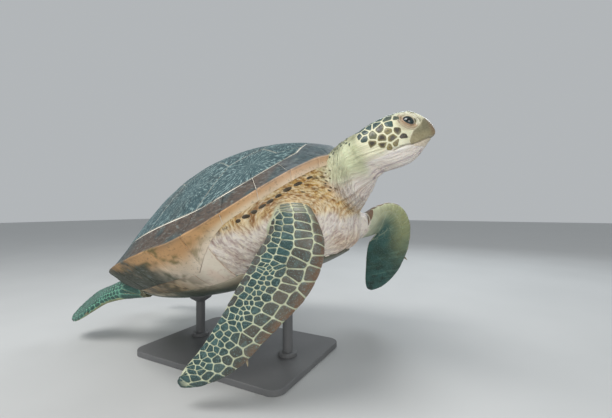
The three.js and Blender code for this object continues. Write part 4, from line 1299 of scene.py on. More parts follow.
def refine_head(mesh):
    """Halves the grain over the face, where the lids and lips need it."""
    bm = bmesh.new()
    bm.from_mesh(mesh)
    bmesh.ops.triangulate(bm, faces=[f for f in bm.faces if len(f.verts) > 4])
    h = in_head(np.array([v.co[:] for v in bm.verts]))
    face = (h[:, 0] > -78) & (np.linalg.norm(h[:, 1:], axis=1) < 110)
    chosen = [e for e in bm.edges if face[e.verts[0].index] and face[e.verts[1].index]]
    bmesh.ops.subdivide_edges(bm, edges=chosen, cuts=1, use_grid_fill=True)
    bm.to_mesh(mesh)
    bm.free()
    mesh.update()


# Share of each flipper, from its root, that still counts as the body's skin.
LIMB_START = {"fore_right": 0.005, "fore_left": 0.10, "hind_right": 0.22, "hind_left": 0.22}
CHART_STRIDE = 2             # every second place of a chart is enough to tell where a point lies


def place_on_charts(points):
    """For each point: the flipper it lies on (or -1), its chart place, and how surely."""
    best = np.full(len(points), 1e9)
    which = np.full(len(points), -1)
    a, b = np.zeros(len(points)), np.ones(len(points))
    for i, chart in enumerate(CHARTS.values()):
        grid = chart.grid[::CHART_STRIDE, ::CHART_STRIDE]
        flat = grid.reshape(-1, 3)
        tree = nearest_lookup(flat)
        inside = ((points > flat.min(0) - 15) & (points < flat.max(0) + 15)).all(1)
        for j in np.nonzero(inside)[0]:
            _, index, distance = tree.find(points[j])
            if distance < best[j]:
                best[j], which[j] = distance, i
                row, column = divmod(index, grid.shape[1])
                a[j] = chart.run[row * CHART_STRIDE]
                b[j] = (column * CHART_STRIDE / CHART_COLUMNS - 1) * chart.reach[row * CHART_STRIDE]
    near = 1 - ramp(best, 6.0, 11.0)
    starts = np.array([c.length * LIMB_START[n] for n, c in CHARTS.items()] + [0.0])
    near = near * ramp(a - starts[which], -12, 18)
    return np.where(near > 0, which, -1), a, b, near


# ---------------------------------------------------------------- scale cells
def clip_half(polygon, normal, limit):
    """The part of a polygon where p . normal <= limit."""
    out = []
    values = polygon @ normal - limit
    for a, b, va, vb in zip(polygon, np.roll(polygon, -1, 0), values, np.roll(values, -1)):
        if va <= 0:
            out.append(a)
        if (va < 0 < vb) or (vb < 0 < va):
            out.append(a + (b - a) * (va / (va - vb)))
    return np.array(out)


NEIGHBOURS = 18              # seeds that can bound a cell


def cells(seeds, wanted, seam):
    """Outline of the cell nearest to each wanted seed, drawn in by half of seam(seed)."""
    made = []
    for i in wanted:
        away = seeds - seeds[i]
        distance = np.hypot(away[:, 0], away[:, 1])
        order = np.argsort(distance)[1:NEIGHBOURS + 1]
        size = distance[order[-1]] + 20
        polygon = seeds[i] + np.array([(-size, -size), (size, -size), (size, size), (-size, size)])
        for j in order:
            normal = away[j] / distance[j]
            limit = (seeds[i] + away[j] / 2) @ normal - seam(seeds[i]) / 2
            polygon = clip_half(polygon, normal, limit)
            if len(polygon) < 3:
                break
        if len(polygon) >= 3:
            made.append((i, polygon))
    return made


SCALE_DEEP = 1.6             # how far a scale reaches down into the skin
BIG_SCALE, SMALL_SCALE = 70, 26     # limits of the perimeter, in mm, that change how fine a scale is


def scale_plate(batch, polygon, surface, height, tint, chart):
    perimeter = run_along(np.vstack([polygon, polygon[:1]]))[-1]
    corner, spacing, inner = (2.6, 2.8, 4) if perimeter > BIG_SCALE else (1.5, 2.2, 1)
    outline = resample(soften(polygon, corner), int(np.clip(perimeter / spacing, 10, 84)))
    steps, lifts = [0.0, 0.5, 1.5], [-0.3, height * 0.72, height]
    if perimeter <= SMALL_SCALE:
        steps, lifts = [0.0, 0.6], [-0.3, height]
    domed = lambda share, plan: height * 0.35 * (1 - share**2)
    plate(batch, outline, surface, steps, lifts, inner, SCALE_DEEP, domed, tint, chart)


SNAP_REACH, SNAP_SLACK = 14.0, 0.5


def snapped(chart_lookup, tree):
    """Chart surface, moved out or in to the skin where the two differ clearly."""
    def surface(plan):
        p, n = chart_lookup(plan)
        out = p.copy()
        for i in range(len(p)):
            hit = tree.find_nearest(Vector(p[i]), SNAP_REACH)[0]
            if hit is not None:
                gap = float((np.array(hit) - p[i]) @ n[i]) + UNDER_SCALES
                move = math.copysign(max(0.0, abs(gap) - SNAP_SLACK), gap)
                out[i] = p[i] + n[i] * (move - UNDER_SCALES)
        return out, n
    return surface


def rows_of_seeds(chart, rows, rng):
    seeds = []
    for number, (share, spacing, first, last) in enumerate(rows):
        a = first * chart.length + spacing * (0.25 + 0.5 * (number % 2))
        while a < last * chart.length:
            wide, jitter = chart.reach_at(a), spacing * 0.13
            seeds.append((a + rng.uniform(-jitter, jitter), share * wide + rng.uniform(-0.02, 0.02) * wide))
            a += spacing * rng.uniform(0.86, 1.14)
    return seeds


ARM, HAND, BEND, TIP = 0.34, 0.30, 0.62, 0.992     # places along a flipper
# Rows of scales: share of the way from the front edge, spacing in mm, first place, last place.
FORE_UPPER = [
    (0.07, 24, 0.07, ARM), (0.36, 21, 0.05, ARM), (0.63, 18, 0.05, ARM), (0.76, 15, 0.05, ARM),
    (0.93, 34, 0.05, BEND), (0.10, 37, ARM, TIP), (0.345, 33, ARM, 0.90),
    (0.53, 20, HAND, BEND), (0.61, 15, HAND, BEND), (0.68, 14, HAND, BEND), (0.77, 19, HAND, BEND),
    (0.52, 24, BEND, 0.95), (0.655, 17, BEND, 0.95), (0.78, 22, BEND, 0.96), (0.93, 29, BEND, TIP)]
FORE_UNDER = [
    (-0.12, 13, 0.16, 0.44), (-0.12, 30, 0.44, TIP), (-0.36, 13, 0.22, 0.44),
    (-0.36, 34, 0.44, 0.95), (-0.55, 26, 0.40, 0.95),
    (-0.72, 22, 0.36, 0.96), (-0.90, 26, 0.34, TIP)]
HIND_UPPER = [(0.08, 19, 0.24, TIP)] + [(0.08 + 0.125 * i, 13.5, 0.22, 0.97) for i in range(1, 7)] + [
    (0.94, 17, 0.22, TIP)]
HIND_UNDER = [(-0.08, 19, 0.30, TIP)] + [(-0.08 - 0.2 * i, 17, 0.30, 0.97) for i in range(1, 5)]


ROOT_START, ROOT_BAND = 4.0, 7.5       # the narrow folds that ring the arm's root


def root_bands(chart):
    return [(ROOT_START + ROOT_BAND * (i + 0.5), share * chart.reach_at(ROOT_BAND * i))
            for i in range(3) for share in (0.12, 0.36, 0.60, 0.84)]


EDGE_SHARE = 0.985           # where the scales end, short of the rear edge


def mirrored_edge(chart, seeds):
    """Seeds just past the rear edge and the ends, so that the cells there end on the edge."""
    extra = []
    for a, b in seeds:
        wide = chart.reach_at(a)
        if abs(b / wide) > 0.86:
            extra.append((a, math.copysign(2 * wide * EDGE_SHARE - abs(b), b)))
        if a > chart.length * 0.93:
            extra.append((2 * chart.length - a, b))
        if a < chart.length * 0.05:
            extra.append((2 * ROOT_START - a, b))
    return extra


GREY_BROWN, GREY_EDGE = np.array((0.085, 0.072, 0.054)), np.array((0.070, 0.064, 0.056))
TEAL = (0.018, 0.055, 0.055)
HIND_SCALES = {True: (np.array((0.022, 0.085, 0.065)), (0.20, 0.48, 0.36)),      # upper side: core, rim
               False: (np.array((0.30, 0.32, 0.16)), (0.50, 0.48, 0.28))}        # under side


def fore_tint(chart, seed, rng):
    """Colour function of one scale of a fore flipper."""
    u, share = seed[0] / chart.length, seed[1] / chart.reach_at(seed[0])
    shade = rng.uniform(0.75, 1.25)
    return fore_upper(chart, seed, u, share, shade, rng) if share > 0 else fore_under(chart, u, shade)


def fore_upper(chart, seed, u, share, shade, rng):
    """Orange by the front edge, grey-brown, then teal; grey at the root and along the rear row."""
    edge_row = ramp(share, 0.84, 0.88) * (1 - ramp(u, 0.55, 0.66))
    root_end = ROOT_START + 3 * ROOT_BAND
    rooted = 1 - ramp(seed[0], root_end, root_end + 4)
    core = layered(GREY_BROWN, (TEAL, ramp(share + rng.uniform(-0.08, 0.08), 0.30, 0.62)),
                   (TEAL, ramp(u, 0.55, 0.95) * 0.8)) * shade
    core = layered(core, (GREY_EDGE * shade, edge_row), ((0.24, 0.24, 0.19), rooted * 0.8))

    def tint(part, plan):
        across = plan[:, 1] / chart.reach_at(plan[:, 0])
        warm = (1 - ramp(across, 0.02, 0.20)) * (1 - ramp(u, 0.55, 0.9))
        return layered(core, ((0.230, 0.115, 0.055), warm * 0.8 * (1 - rooted)),
                       ((0.10, 0.19, 0.18), ramp(noise_on(plan, 9, 91), 0.25, 0.8) * 0.35),
                       (SEAM_PALE, ramp(part, 0.93, 1.0) * (0.55 * (1 - 0.8 * edge_row))))
    return tint


def fore_under(chart, u, shade):
    """The colour of the skin there, with pale seams round the bend."""
    bent = float(ramp(u, 0.14, 0.20) * (1 - ramp(u, 0.40, 0.46)))

    def tint(part, plan):
        along, across = plan[:, 0] / chart.length, plan[:, 1] / chart.reach_at(plan[:, 0])
        colour = flipper_under_tint(chart.lookup(plan)[0], along, across)
        edge = mix(colour, SEAM_PALE, 0.06 + 0.45 * bent)
        return mix(colour * (0.80 + 0.16 * shade), edge, ramp(part, 0.8, 1.0))
    return tint


def hind_tint(chart, seed, rng):
    core, rim = HIND_SCALES[bool(seed[1] > 0)]
    core = core * rng.uniform(0.7, 1.35)
    return lambda part, plan: mix(core, rim, ramp(part, 0.85, 1.0) * 0.6)


def scale_gap(seed, chart, fore):
    share = seed[1] / chart.reach_at(seed[0])
    if not fore or share < 0:
        return 1.4
    return 2.2 if share < 0.47 else 1.7


def limb_scales(tree, material):
    for name, chart in CHARTS.items():
        rng = random.Random(len(name) * 7 + 3)
        fore = name.startswith("fore")
        rows = FORE_UPPER + FORE_UNDER if fore else HIND_UPPER + HIND_UNDER
        seeds = rows_of_seeds(chart, rows, rng) + (root_bands(chart) if fore else [])
        real = len(seeds)
        seeds = np.array(seeds + mirrored_edge(chart, seeds))
        seam = lambda s: scale_gap(s, chart, fore)
        surface = snapped(chart.lookup, tree)
        batch = Batch()
        flat = lambda plan: np.column_stack([0.02 + 0.96 * plan[:, 0] / (chart.length * 1.02),
                                             0.5 + 0.47 * plan[:, 1] / chart.reach.max()])
        for i, polygon in cells(seeds, range(real), seam):
            colour = (fore_tint if fore else hind_tint)(chart, seeds[i], rng)
            limit = chart.reach_at(polygon[:, 0]) * EDGE_SHARE
            polygon[:, 1] = np.clip(polygon[:, 1], -limit, limit)
            polygon[:, 0] = np.clip(polygon[:, 0], 0, chart.length * 0.995)
            height = 1.1 if seeds[i][1] > 0 else 0.45
            scale_plate(batch, polygon, surface, height, colour, flat)
        piece = batch.build(name + "_scales", material, mapped=True)
        print(name, real, "scales", batch.count, "points")


# ---------------------------------------------------------------- head: plates, beak, lids, eyes
HEAD_GAP = 3.0               # seam between two plates of the head
FACE_RADIUS = 60.0           # turns an angle round the head into a distance on the chart
# Place of each plate on one side: forward, degrees down from the crown, how teal, how dark a core.
SIDE_PLATES = [
    (9, 46, 0.8, 0.5), (8, 65, 1.0, 0.3), (-16, 67, 0.35, 0.8), (0, 79, 0.1, 0.45), (21, 83, 0.15, 0.8),
    (32, 100, 0.1, 1.0), (-17, 89, 0.1, 0.75), (3, 95, 0.1, 0.75), (7, 109, 0.0, 0.25), (-21, 102, 0.1, 0.7),
    (-9, 112, 0.0, 0.25), (-37, 76, 0.5, 0.5), (-44, 90, 0.15, 0.7), (-53, 57, 0.95, 0.6),
    (-57, 74, 0.95, 0.6),
    (-66, 60, 1.0, 0.7), (-39, 48, 1.0, 0.5), (-23, 51, 1.0, 0.5), (-12, 34, 1.0, 0.5), (-34, 26, 1.0, 0.5),
    (16, 24, 0.9, 0.5), (-56, 34, 1.0, 0.5), (44, 24, 0.8, 0.4), (66, 22, 0.5, 0.4), (28, 52, 0.7, 0.4),
    (66, 62, 0.25, 0.6)]
CROWN_PLATES = [(30, 0.85), (2, 0.9), (-20, 1.0), (-48, 1.0), (56, 0.7), (-70, 1.0)]
# Bare skin between the plates: round the eye, behind the beak and along the gape.
BARE_SIDE = [
    (-82, 44), (-82, 62), (-80, 80), (-62, 92), (-60, 108), (-40, 108), (-26, 116), (-12, 124), (4, 122),
    (18, 116), (28, 114), (38, 88), (34, 72), (26, 68), (36, 40), (52, 42), (60, 50), (56, 76), (44, 98),
    (62, 84), (72, 50), (80, 40), (76, 64), (50, 60), (44, 52), (42, 116), (20, 130), (-20, 130), (-50, 124)]


EYE_SLANT = 50               # degrees that the front corner of the eye hangs down


def eye_frame(side):
    """Centre, outward axis, long axis and short axis of an eye's opening, in head coordinates."""
    out = unit(np.array([0.16, side * 1.0, 0.10]))
    slant = math.radians(EYE_SLANT)
    along = np.array([math.cos(slant), 0, -math.sin(slant)])
    along = unit(along - out * (along @ out))
    across = np.cross(out, along) * side
    if across[2] < 0:
        across = -across
    return EYE_AT * (1, side, 1), out, along, across


def mouth_level(s):
    """Height of the gape at places along the head: level on the cheek, rising to the tip."""
    return np.interp(s, (-10, 4, 16, 30, 43, 59, 74, 80, 95),
                     (-34.5, -32.4, -30.6, -30, -32.3, -30.5, -26.5, -25.6, -23.5))


def head_relief(points):
    """Brow, eye sockets, cheek, gape and chin folds of the skin, in mm."""
    h = in_head(points)
    s, side, n = h.T
    lift = np.zeros(len(h))
    on_head = ramp(s, -90, -60)
    for hand in (-1, 1):
        centre, out, along, across = eye_frame(hand)
        d = h - centre
        u, v, w = d @ along, d @ across, d @ out
        r = np.sqrt((u / 15.0)**2 + (v / 9.0)**2)
        facing = (w > 0) & (side * hand > 8)
        lift -= np.where(facing, 6.5 * (1 - ramp(r, 0.85, 1.55)), 0)
        brow = np.exp(-((v - 15) / 6.5)**2 - (u / 19)**2)
        under = np.exp(-((v + 14) / 5)**2 - (u / 17)**2)
        lift += np.where(facing, 2.6 * brow + 1.2 * under, 0)
    level = mouth_level(s)
    inside = ramp(s, MOUTH_BACK - 4, MOUTH_BACK + 4)
    groove = np.exp(-((n - level) / 1.7)**2) * inside
    lip = np.exp(-((n - level + 5) / 3.2)**2) * inside * (1 - ramp(s, 60, 80))
    corner = np.exp(-((s - MOUTH_BACK + (n - MOUTH_LEVEL) * 0.25) / 2.2)**2)
    corner *= ramp(n, -48, -30) * (1 - ramp(n, -20, -16))
    lift += (-2.6 * groove + 1.0 * lip - 1.8 * corner) * on_head
    chin = ramp(-n, 26, 40) * on_head * (1 - ramp(s, 70, 90))
    p = np.column_stack([s * 0.18, side, n])
    lift += -np.abs(noise(p, (9, 5.5, 5.5), 101)) * 2.2 * chin
    lift += noise(points, 9, 102) * 0.3 * on_head
    bulge, rings = throat_flap(h)
    return lift + bulge * (9.0 + 2.6 * rings)


def ray_chart(tree, origin_of, direction_of):
    """Surface met by rays from outside towards places inside the head."""
    def surface(plan):
        points, normals = np.zeros((len(plan), 3)), np.zeros((len(plan), 3))
        origins, directions = origin_of(plan), direction_of(plan)
        for i in range(len(plan)):
            start = from_head(origins[i])
            way = unit(directions[i] @ HEAD_FRAME)
            hit, _, _, _ = tree.ray_cast(Vector(start + way * 140), Vector(-way))
            points[i] = np.array(hit) if hit else start + way * 50
            normals[i] = way
        return points, normals
    return surface


def head_chart(tree):
    def origin_of(plan):
        return plan[:, :1] * (1, 0, 0)

    def direction_of(plan):
        f = plan[:, 1] / FACE_RADIUS
        return np.column_stack([np.zeros(len(plan)), np.sin(f), np.cos(f)])
    return ray_chart(tree, origin_of, direction_of)


def head_scales(tree, material):
    rng = random.Random(17)
    seeds = [(s, 0.0) for s, _ in CROWN_PLATES]
    looks = [(tone, 0.5) for _, tone in CROWN_PLATES]
    for s, angle, tone, core in SIDE_PLATES:
        for side in (-1, 1):
            seeds.append((s + rng.uniform(-2, 2) * (side > 0), side * math.radians(angle) * FACE_RADIUS))
            looks.append((tone, core))
    bare = [(s, side * math.radians(angle) * FACE_RADIUS) for s, angle in BARE_SIDE for side in (-1, 1)]
    bare += [(-88, 0.0), (84, 0.0), (84, 20.0), (84, -20.0)]
    surface = head_chart(tree)
    batch = Batch()
    flat = lambda plan: 0.5 + plan / (260, 330)
    for i, polygon in cells(np.array(seeds + bare), range(len(seeds)), lambda s: HEAD_GAP):
        scale_plate(batch, polygon, surface, 0.9, head_tint(*looks[i], rng), flat)
    piece = batch.build("head_scales", material, mapped=True)


def head_tint(tone, core, rng):
    base = mix((0.250, 0.205, 0.080), (0.018, 0.060, 0.058), tone) * rng.uniform(0.85, 1.15)
    middle = mix((0.050, 0.032, 0.018), (0.010, 0.030, 0.034), tone)

    def tint(share, plan):
        blot = ramp(core * 1.1 - share + noise_on(plan, 7, 95) * 0.25, 0.0, 0.35)
        return layered(base, (middle, blot), (SEAM_CREAM, ramp(share, 0.9, 1.0) * 0.45))
    return tint


BEAK_HUB = np.array([36.0, 0, -16])     # the beak's chart is a globe round this place


def beak_chart(tree):
    def origin_of(plan):
        return np.broadcast_to(BEAK_HUB, (len(plan), 3))

    def direction_of(plan):
        az, el = np.radians(plan[:, 0]), np.radians(plan[:, 1])
        return np.column_stack([np.cos(az) * np.cos(el), np.sin(az) * np.cos(el), np.sin(el)])
    return ray_chart(tree, origin_of, direction_of)


def beak_edge(surface, azimuths, goal, low, high):
    """Elevation at each azimuth where the surface meets the height goal(forward)."""
    a, b = np.full(len(azimuths), float(low)), np.full(len(azimuths), float(high))
    for _ in range(14):
        m = (a + b) / 2
        h = in_head(surface(np.column_stack([azimuths, m]))[0])
        above = h[:, 2] > goal(h[:, 0])
        b, a = np.where(above, m, b), np.where(above, a, m)
    return (a + b) / 2


def beak_top(s):
    """Back edge of the upper beak, from the gape up to the nose."""
    return np.interp(s, (33, 36, 42, 53, 66, 77, 82, 90), (-32, -25, -15, -2, 5, 15, 21, 24))


def beak_bottom(s):
    return np.interp(s, (30, 45, 62, 78, 92), (-33, -38, -41, -38, -33))


def beak(tree, material):
    surface = beak_chart(tree)
    for name, low_goal, high_goal, span, thick in (
            ("beak_upper", lambda s: mouth_level(s) + 0.3, beak_top, 88, 1.5),
            ("beak_lower", beak_bottom, lambda s: mouth_level(s) - 0.9, 80, 1.1)):
        az = np.concatenate([[-span, -span + 0.8, -span + 2.4], np.linspace(-span + 5, span - 5, 70),
                             [span - 2.4, span - 0.8, span]])
        low = beak_edge(surface, az, low_goal, -60, 40)
        high = np.maximum(beak_edge(surface, az, high_goal, -60, 60), low + 1.5)
        rows = np.concatenate([[0, 0.015, 0.05], np.linspace(0.1, 0.9, 18), [0.95, 0.985, 1.0]])
        el = low[:, None] + (high - low)[:, None] * rows
        plan = np.column_stack([np.repeat(az, len(rows)), el.ravel()])
        flat = surface(plan)[0]
        p = flat.reshape(len(az), len(rows), 3)
        normal = grid_normals(p)
        if in_head(p[37, 12] + normal[37, 12])[0] < in_head(p[37, 12])[0]:
            normal = -normal
        edge = [h * thick for h in (-0.6, 0.55, 0.9)]
        rise = rounded_rim(np.full(p.shape[:2], thick), edge, last_column=True)
        batch = Batch()
        add_slab(batch, p + normal * rise[..., None], p - normal * 2.5,
                 beak_tint(flat, name), np.column_stack([plan[:, 0] / 8, plan[:, 1] / 60, plan[:, 0] * 0]))
        piece = batch.build("horn_" + name, material)
        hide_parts(name)


def beak_tint(p, name):
    h = in_head(p)
    if name == "beak_lower":
        return mix((0.52, 0.46, 0.33), (0.70, 0.62, 0.50), ramp(-h[:, 0], -95, -60))
    return layered((0.200, 0.185, 0.110), ((0.380, 0.350, 0.220), ramp(noise(p, 16, 105), -0.4, 0.5)),
                   ((0.42, 0.37, 0.22), ramp(-h[:, 2], 2, 20) * 0.6),
                   ((0.56, 0.54, 0.40), ramp(h[:, 2] - beak_top(h[:, 0]), -6, 0) * 0.8),
                   ((0.24, 0.13, 0.055), ramp(h[:, 0], 84, 98) * 0.65))


LID_OPEN = (14.4, 8.2)       # half length and half height of the opening between the lids
LID_RADIUS = 18.4
LID_POINTS = 72


def lid_ring(tree, eye, r, radius):
    """One ring of the lids: over the eyeball near the opening, merging into the face at r 2.25."""
    centre, out, along, across = eye
    f = round_turn(LID_POINTS)
    corner = 0.82 + 0.18 * np.abs(np.sin(f))**0.6
    u = LID_OPEN[0] * np.cos(f) * (r if r < 1 else 1 + (r - 1) * 0.95)
    v = LID_OPEN[1] * np.sin(f) * corner * (r if r < 1 else 1 + (r - 1) * 1.5)
    flat = along * u[:, None] + across * v[:, None]
    angle = np.arcsin(np.clip(np.linalg.norm(flat, axis=1) / LID_RADIUS, 0, 0.97))
    ball = centre + radius * (out * np.cos(angle)[:, None] + unit(flat) * np.sin(angle)[:, None])
    face = []
    for q in centre + flat:
        hit = tree.ray_cast(Vector(from_head(q + out * 60)), Vector(-out @ HEAD_FRAME))[0]
        face.append(in_head(np.array(hit)) if hit else q + out * 14)
    face = np.array(face) - out * 0.6 * ramp(r, 1.9, 2.25)
    merged = ramp(r, 1.05, 1.7)
    ring = ball * (1 - merged) + (face + out * 1.2 * (1 - ramp(r, 1.6, 2.25))) * merged
    if r > 1.05:
        sunk = ((ring - centre) @ out) < ((face - centre) @ out) + 0.3
        lifted = ring + out * np.maximum(0, ((face - ring) @ out) + 0.3)[:, None]
        ring = np.where(sunk[:, None], lifted, ring)
    return ring + out * (0.75 * math.sin((r - 1) * 14) * (1 if 1.05 < r < 2.1 else 0))


def lid_tint(count, places):
    """Folded skin below, paler brow above, a dark line round the opening."""
    share = np.repeat(np.linspace(0, 1, count), LID_POINTS)
    high = np.tile(ramp(np.sin(round_turn(LID_POINTS)), -0.2, 0.6), count)
    folds = mix((0.40, 0.27, 0.17), (0.46, 0.40, 0.28), ramp(share, 0.3, 0.8))
    brow = mix((0.46, 0.43, 0.32), (0.66, 0.65, 0.50), ramp(share, 0.15, 0.5))
    return layered(folds, (brow, high), ((0.05, 0.035, 0.03), 1 - ramp(share, 0.04, 0.13)),
                   ((0.16, 0.12, 0.08), ramp(noise(places, 6, 111), 0.0, 0.7) * 0.5))


def lids_and_eyes(tree, lid_material, eye_material):
    for name, side in (("right", -1), ("left", 1)):
        eye_at = eye_frame(side)
        centre, out = eye_at[:2]
        rs = np.concatenate([[0.90, 0.955], np.linspace(1.0, 2.25, 26)])
        radii = [16.2, 18.0] + [LID_RADIUS] * 26
        grid = np.array([lid_ring(tree, eye_at, r, radius) for r, radius in zip(rs, radii)])
        body = np.vstack([grid.reshape(-1, 3), (grid[::-1] - out * 2.0).reshape(-1, 3)])
        total = 2 * len(grid)
        j = np.arange(LID_POINTS)
        k = (j + 1) % LID_POINTS
        last = (total - 1) * LID_POINTS
        faces = [ring_faces(total, LID_POINTS), np.stack([last + j, last + k, k, j], -1)]
        points, tone = from_head(body), lid_tint(len(grid), grid.reshape(-1, 3))
        batch = Batch()
        batch.add(points, outward(points, faces), np.vstack([tone, tone[::-1]]))
        piece = batch.build("eyelids_" + name, lid_material)
        points, faces = uv_ball(from_head(centre), out @ HEAD_FRAME, EYE_RADIUS)
        facing = unit(points - from_head(centre)) @ (out @ HEAD_FRAME)
        iris, pupil = (ramp(facing, *np.cos(np.radians(limits))) for limits in ((38, 30), (21, 18)))
        tone = layered((0.010, 0.014, 0.015), ((0.012, 0.034, 0.036), iris), ((0.001, 0.001, 0.001), pupil))
        batch = Batch()
        batch.add(points, faces, tone)
        eye = batch.build("eyeball_" + name, eye_material)
        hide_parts("eye_" + name)


def uv_ball(centre, axis, radius, count=48):
    """Ball with its pole on the axis and a slightly raised cornea."""
    axis = unit(np.asarray(axis, float))
    a = unit(np.cross(axis, (0, 0, 1)))
    b = np.cross(axis, a)
    f = round_turn(count)
    rings = []
    for t in np.linspace(0, np.pi, count // 2 + 1)[1:-1]:
        r = radius * (1 + 0.035 * math.exp(-(t / 0.5)**2))
        round_axis = a * np.cos(f)[:, None] + b * np.sin(f)[:, None]
        rings.append(centre + r * (axis * math.cos(t) + round_axis * math.sin(t)))
    points, faces = loft(np.array(rings))
    points[-2] = centre + axis * radius * 1.035
    points[-1] = centre - axis * radius
    return points, faces


# ---------------------------------------------------------------- small loose scales of the soft skin
def flat_chart(tree, axis, start):
    """Skin met by rays along one axis, from a plane at start; the plan is the other two."""
    way = np.zeros(3)
    way[axis] = -math.copysign(1, start)

    def surface(plan):
        points, normals = np.insert(plan, axis, start, axis=1), np.zeros((len(plan), 3))
        for i, origin in enumerate(points.copy()):
            hit, normal, _, _ = tree.ray_cast(Vector(origin), Vector(way))
            if hit is not None:
                points[i] = hit
                normals[i] = normal if np.dot(normal, way) < 0 else -normal
        return points, normals
    return surface


MAX_STRETCH = 3.4            # longest a scale may come out, in half lengths, where the skin is steep


def dash(batch, surface, place, turn, size, tint):
    """One small oval scale, longest in the direction turn."""
    f = round_turn(13)
    c, s = math.cos(turn), math.sin(turn)
    outline = place + np.column_stack([np.cos(f), np.sin(f)]) * size @ np.array([(c, s), (-s, c)])
    points, normals = surface(np.vstack([outline, place]))
    missed = np.linalg.norm(normals, axis=1).min() < 0.5
    if missed or np.ptp(points, axis=0).max() > MAX_STRETCH * size[0]:
        return
    edge_tone = lambda share, plan: mix(tint, SEAM_CREAM, ramp(share, 0.85, 1.0) * 0.35)
    domed = lambda share, plan: 0.3 * (1 - share**2)
    plate(batch, outline, surface, [0.0, 0.8], [0.0, 1.0], 0, SCALE_DEEP, domed, edge_tone,
          lambda plan: 0.5 + plan / 2200, place)


def on_bare_skin(surface, places):
    """Which places meet skin away from the flippers and the head."""
    points, normals = surface(places)
    near = place_on_charts(points)[3]
    return (near < 0.05) & (np.linalg.norm(normals, axis=1) > 0) & (in_head(points)[:, 0] < -88)


def under_rim(x):
    """Height of the skin's upper border, just under the shell's lip."""
    return float(rim_height(x / L) - lip_depth(x / L)) - 8


def pocket_places(side, rng):
    """Places, directions and sizes of the scales in the folds round one shoulder."""
    centre = ARMPIT_RIGHT if side < 0 else ARMPIT_LEFT
    made = []
    x = 762.0
    while x < 930:
        place = (x, under_rim(x) + rng.uniform(-2, 2))
        made.append((place, math.atan2(under_rim(x + 5) - under_rim(x - 5), 10),
                     (rng.uniform(5.0, 9.5), rng.uniform(2.6, 4.4)), rng.uniform(0.3, 0.6)))
        x += rng.uniform(12, 21)
    away = 84.0
    while away < 215:
        step = rng.uniform(13, 19) / away
        angle = math.radians(-72) + rng.uniform(0, step)
        while angle < math.radians(84):
            r = away + rng.uniform(-3, 3)
            x, z = centre[0] + math.sin(angle) * r, centre[1] + math.cos(angle) * r / 1.25
            keep = rng.random() < ramp(r, 70, 150) * 0.5 + 0.42
            if keep and x < 945 and 0 < z < under_rim(min(x, L - 1)) - 7:
                made.append(((x, z), math.atan2(-math.sin(angle) / 1.25, math.cos(angle)),
                             (rng.uniform(2.6, 6.0), rng.uniform(1.4, 2.4)), rng.uniform(0.5, 1.3)))
            angle += step * rng.uniform(0.7, 1.4)
        away += rng.uniform(8, 12)
    return made


POCKET_SCALE, NAPE_SCALE = (0.115, 0.072, 0.030), (0.045, 0.075, 0.045)


def loose_scales(tree, material):
    rng = random.Random(29)
    batch = Batch()
    for side in (-1, 1):
        surface = flat_chart(tree, 1, side * 470.0)
        made = pocket_places(side, rng)
        bare = on_bare_skin(surface, np.array([m[0] for m in made]))
        for (place, turn, size, tone), fine in zip(made, bare):
            if fine:
                dash(batch, surface, np.array(place), turn, size, np.array(POCKET_SCALE) * tone)
    surface = flat_chart(tree, 2, 330.0)
    places = np.array([(x + rng.uniform(-4, 4), y - (x - 905) * 0.25 + rng.uniform(-4, 4))
                       for x in np.arange(905, 1020, 10.5) for y in np.arange(-130, 75, 11.5)])
    for place, fine in zip(places, on_bare_skin(surface, places)):
        if fine and rng.random() < 0.75:
            size = (rng.uniform(2.2, 4.6), rng.uniform(1.8, 3.2))
            turn = rng.uniform(0, 3)
            dash(batch, surface, place, turn, size, np.array(NAPE_SCALE) * rng.uniform(0.6, 1.4))
    piece = batch.build("loose_scales", material, mapped=True)


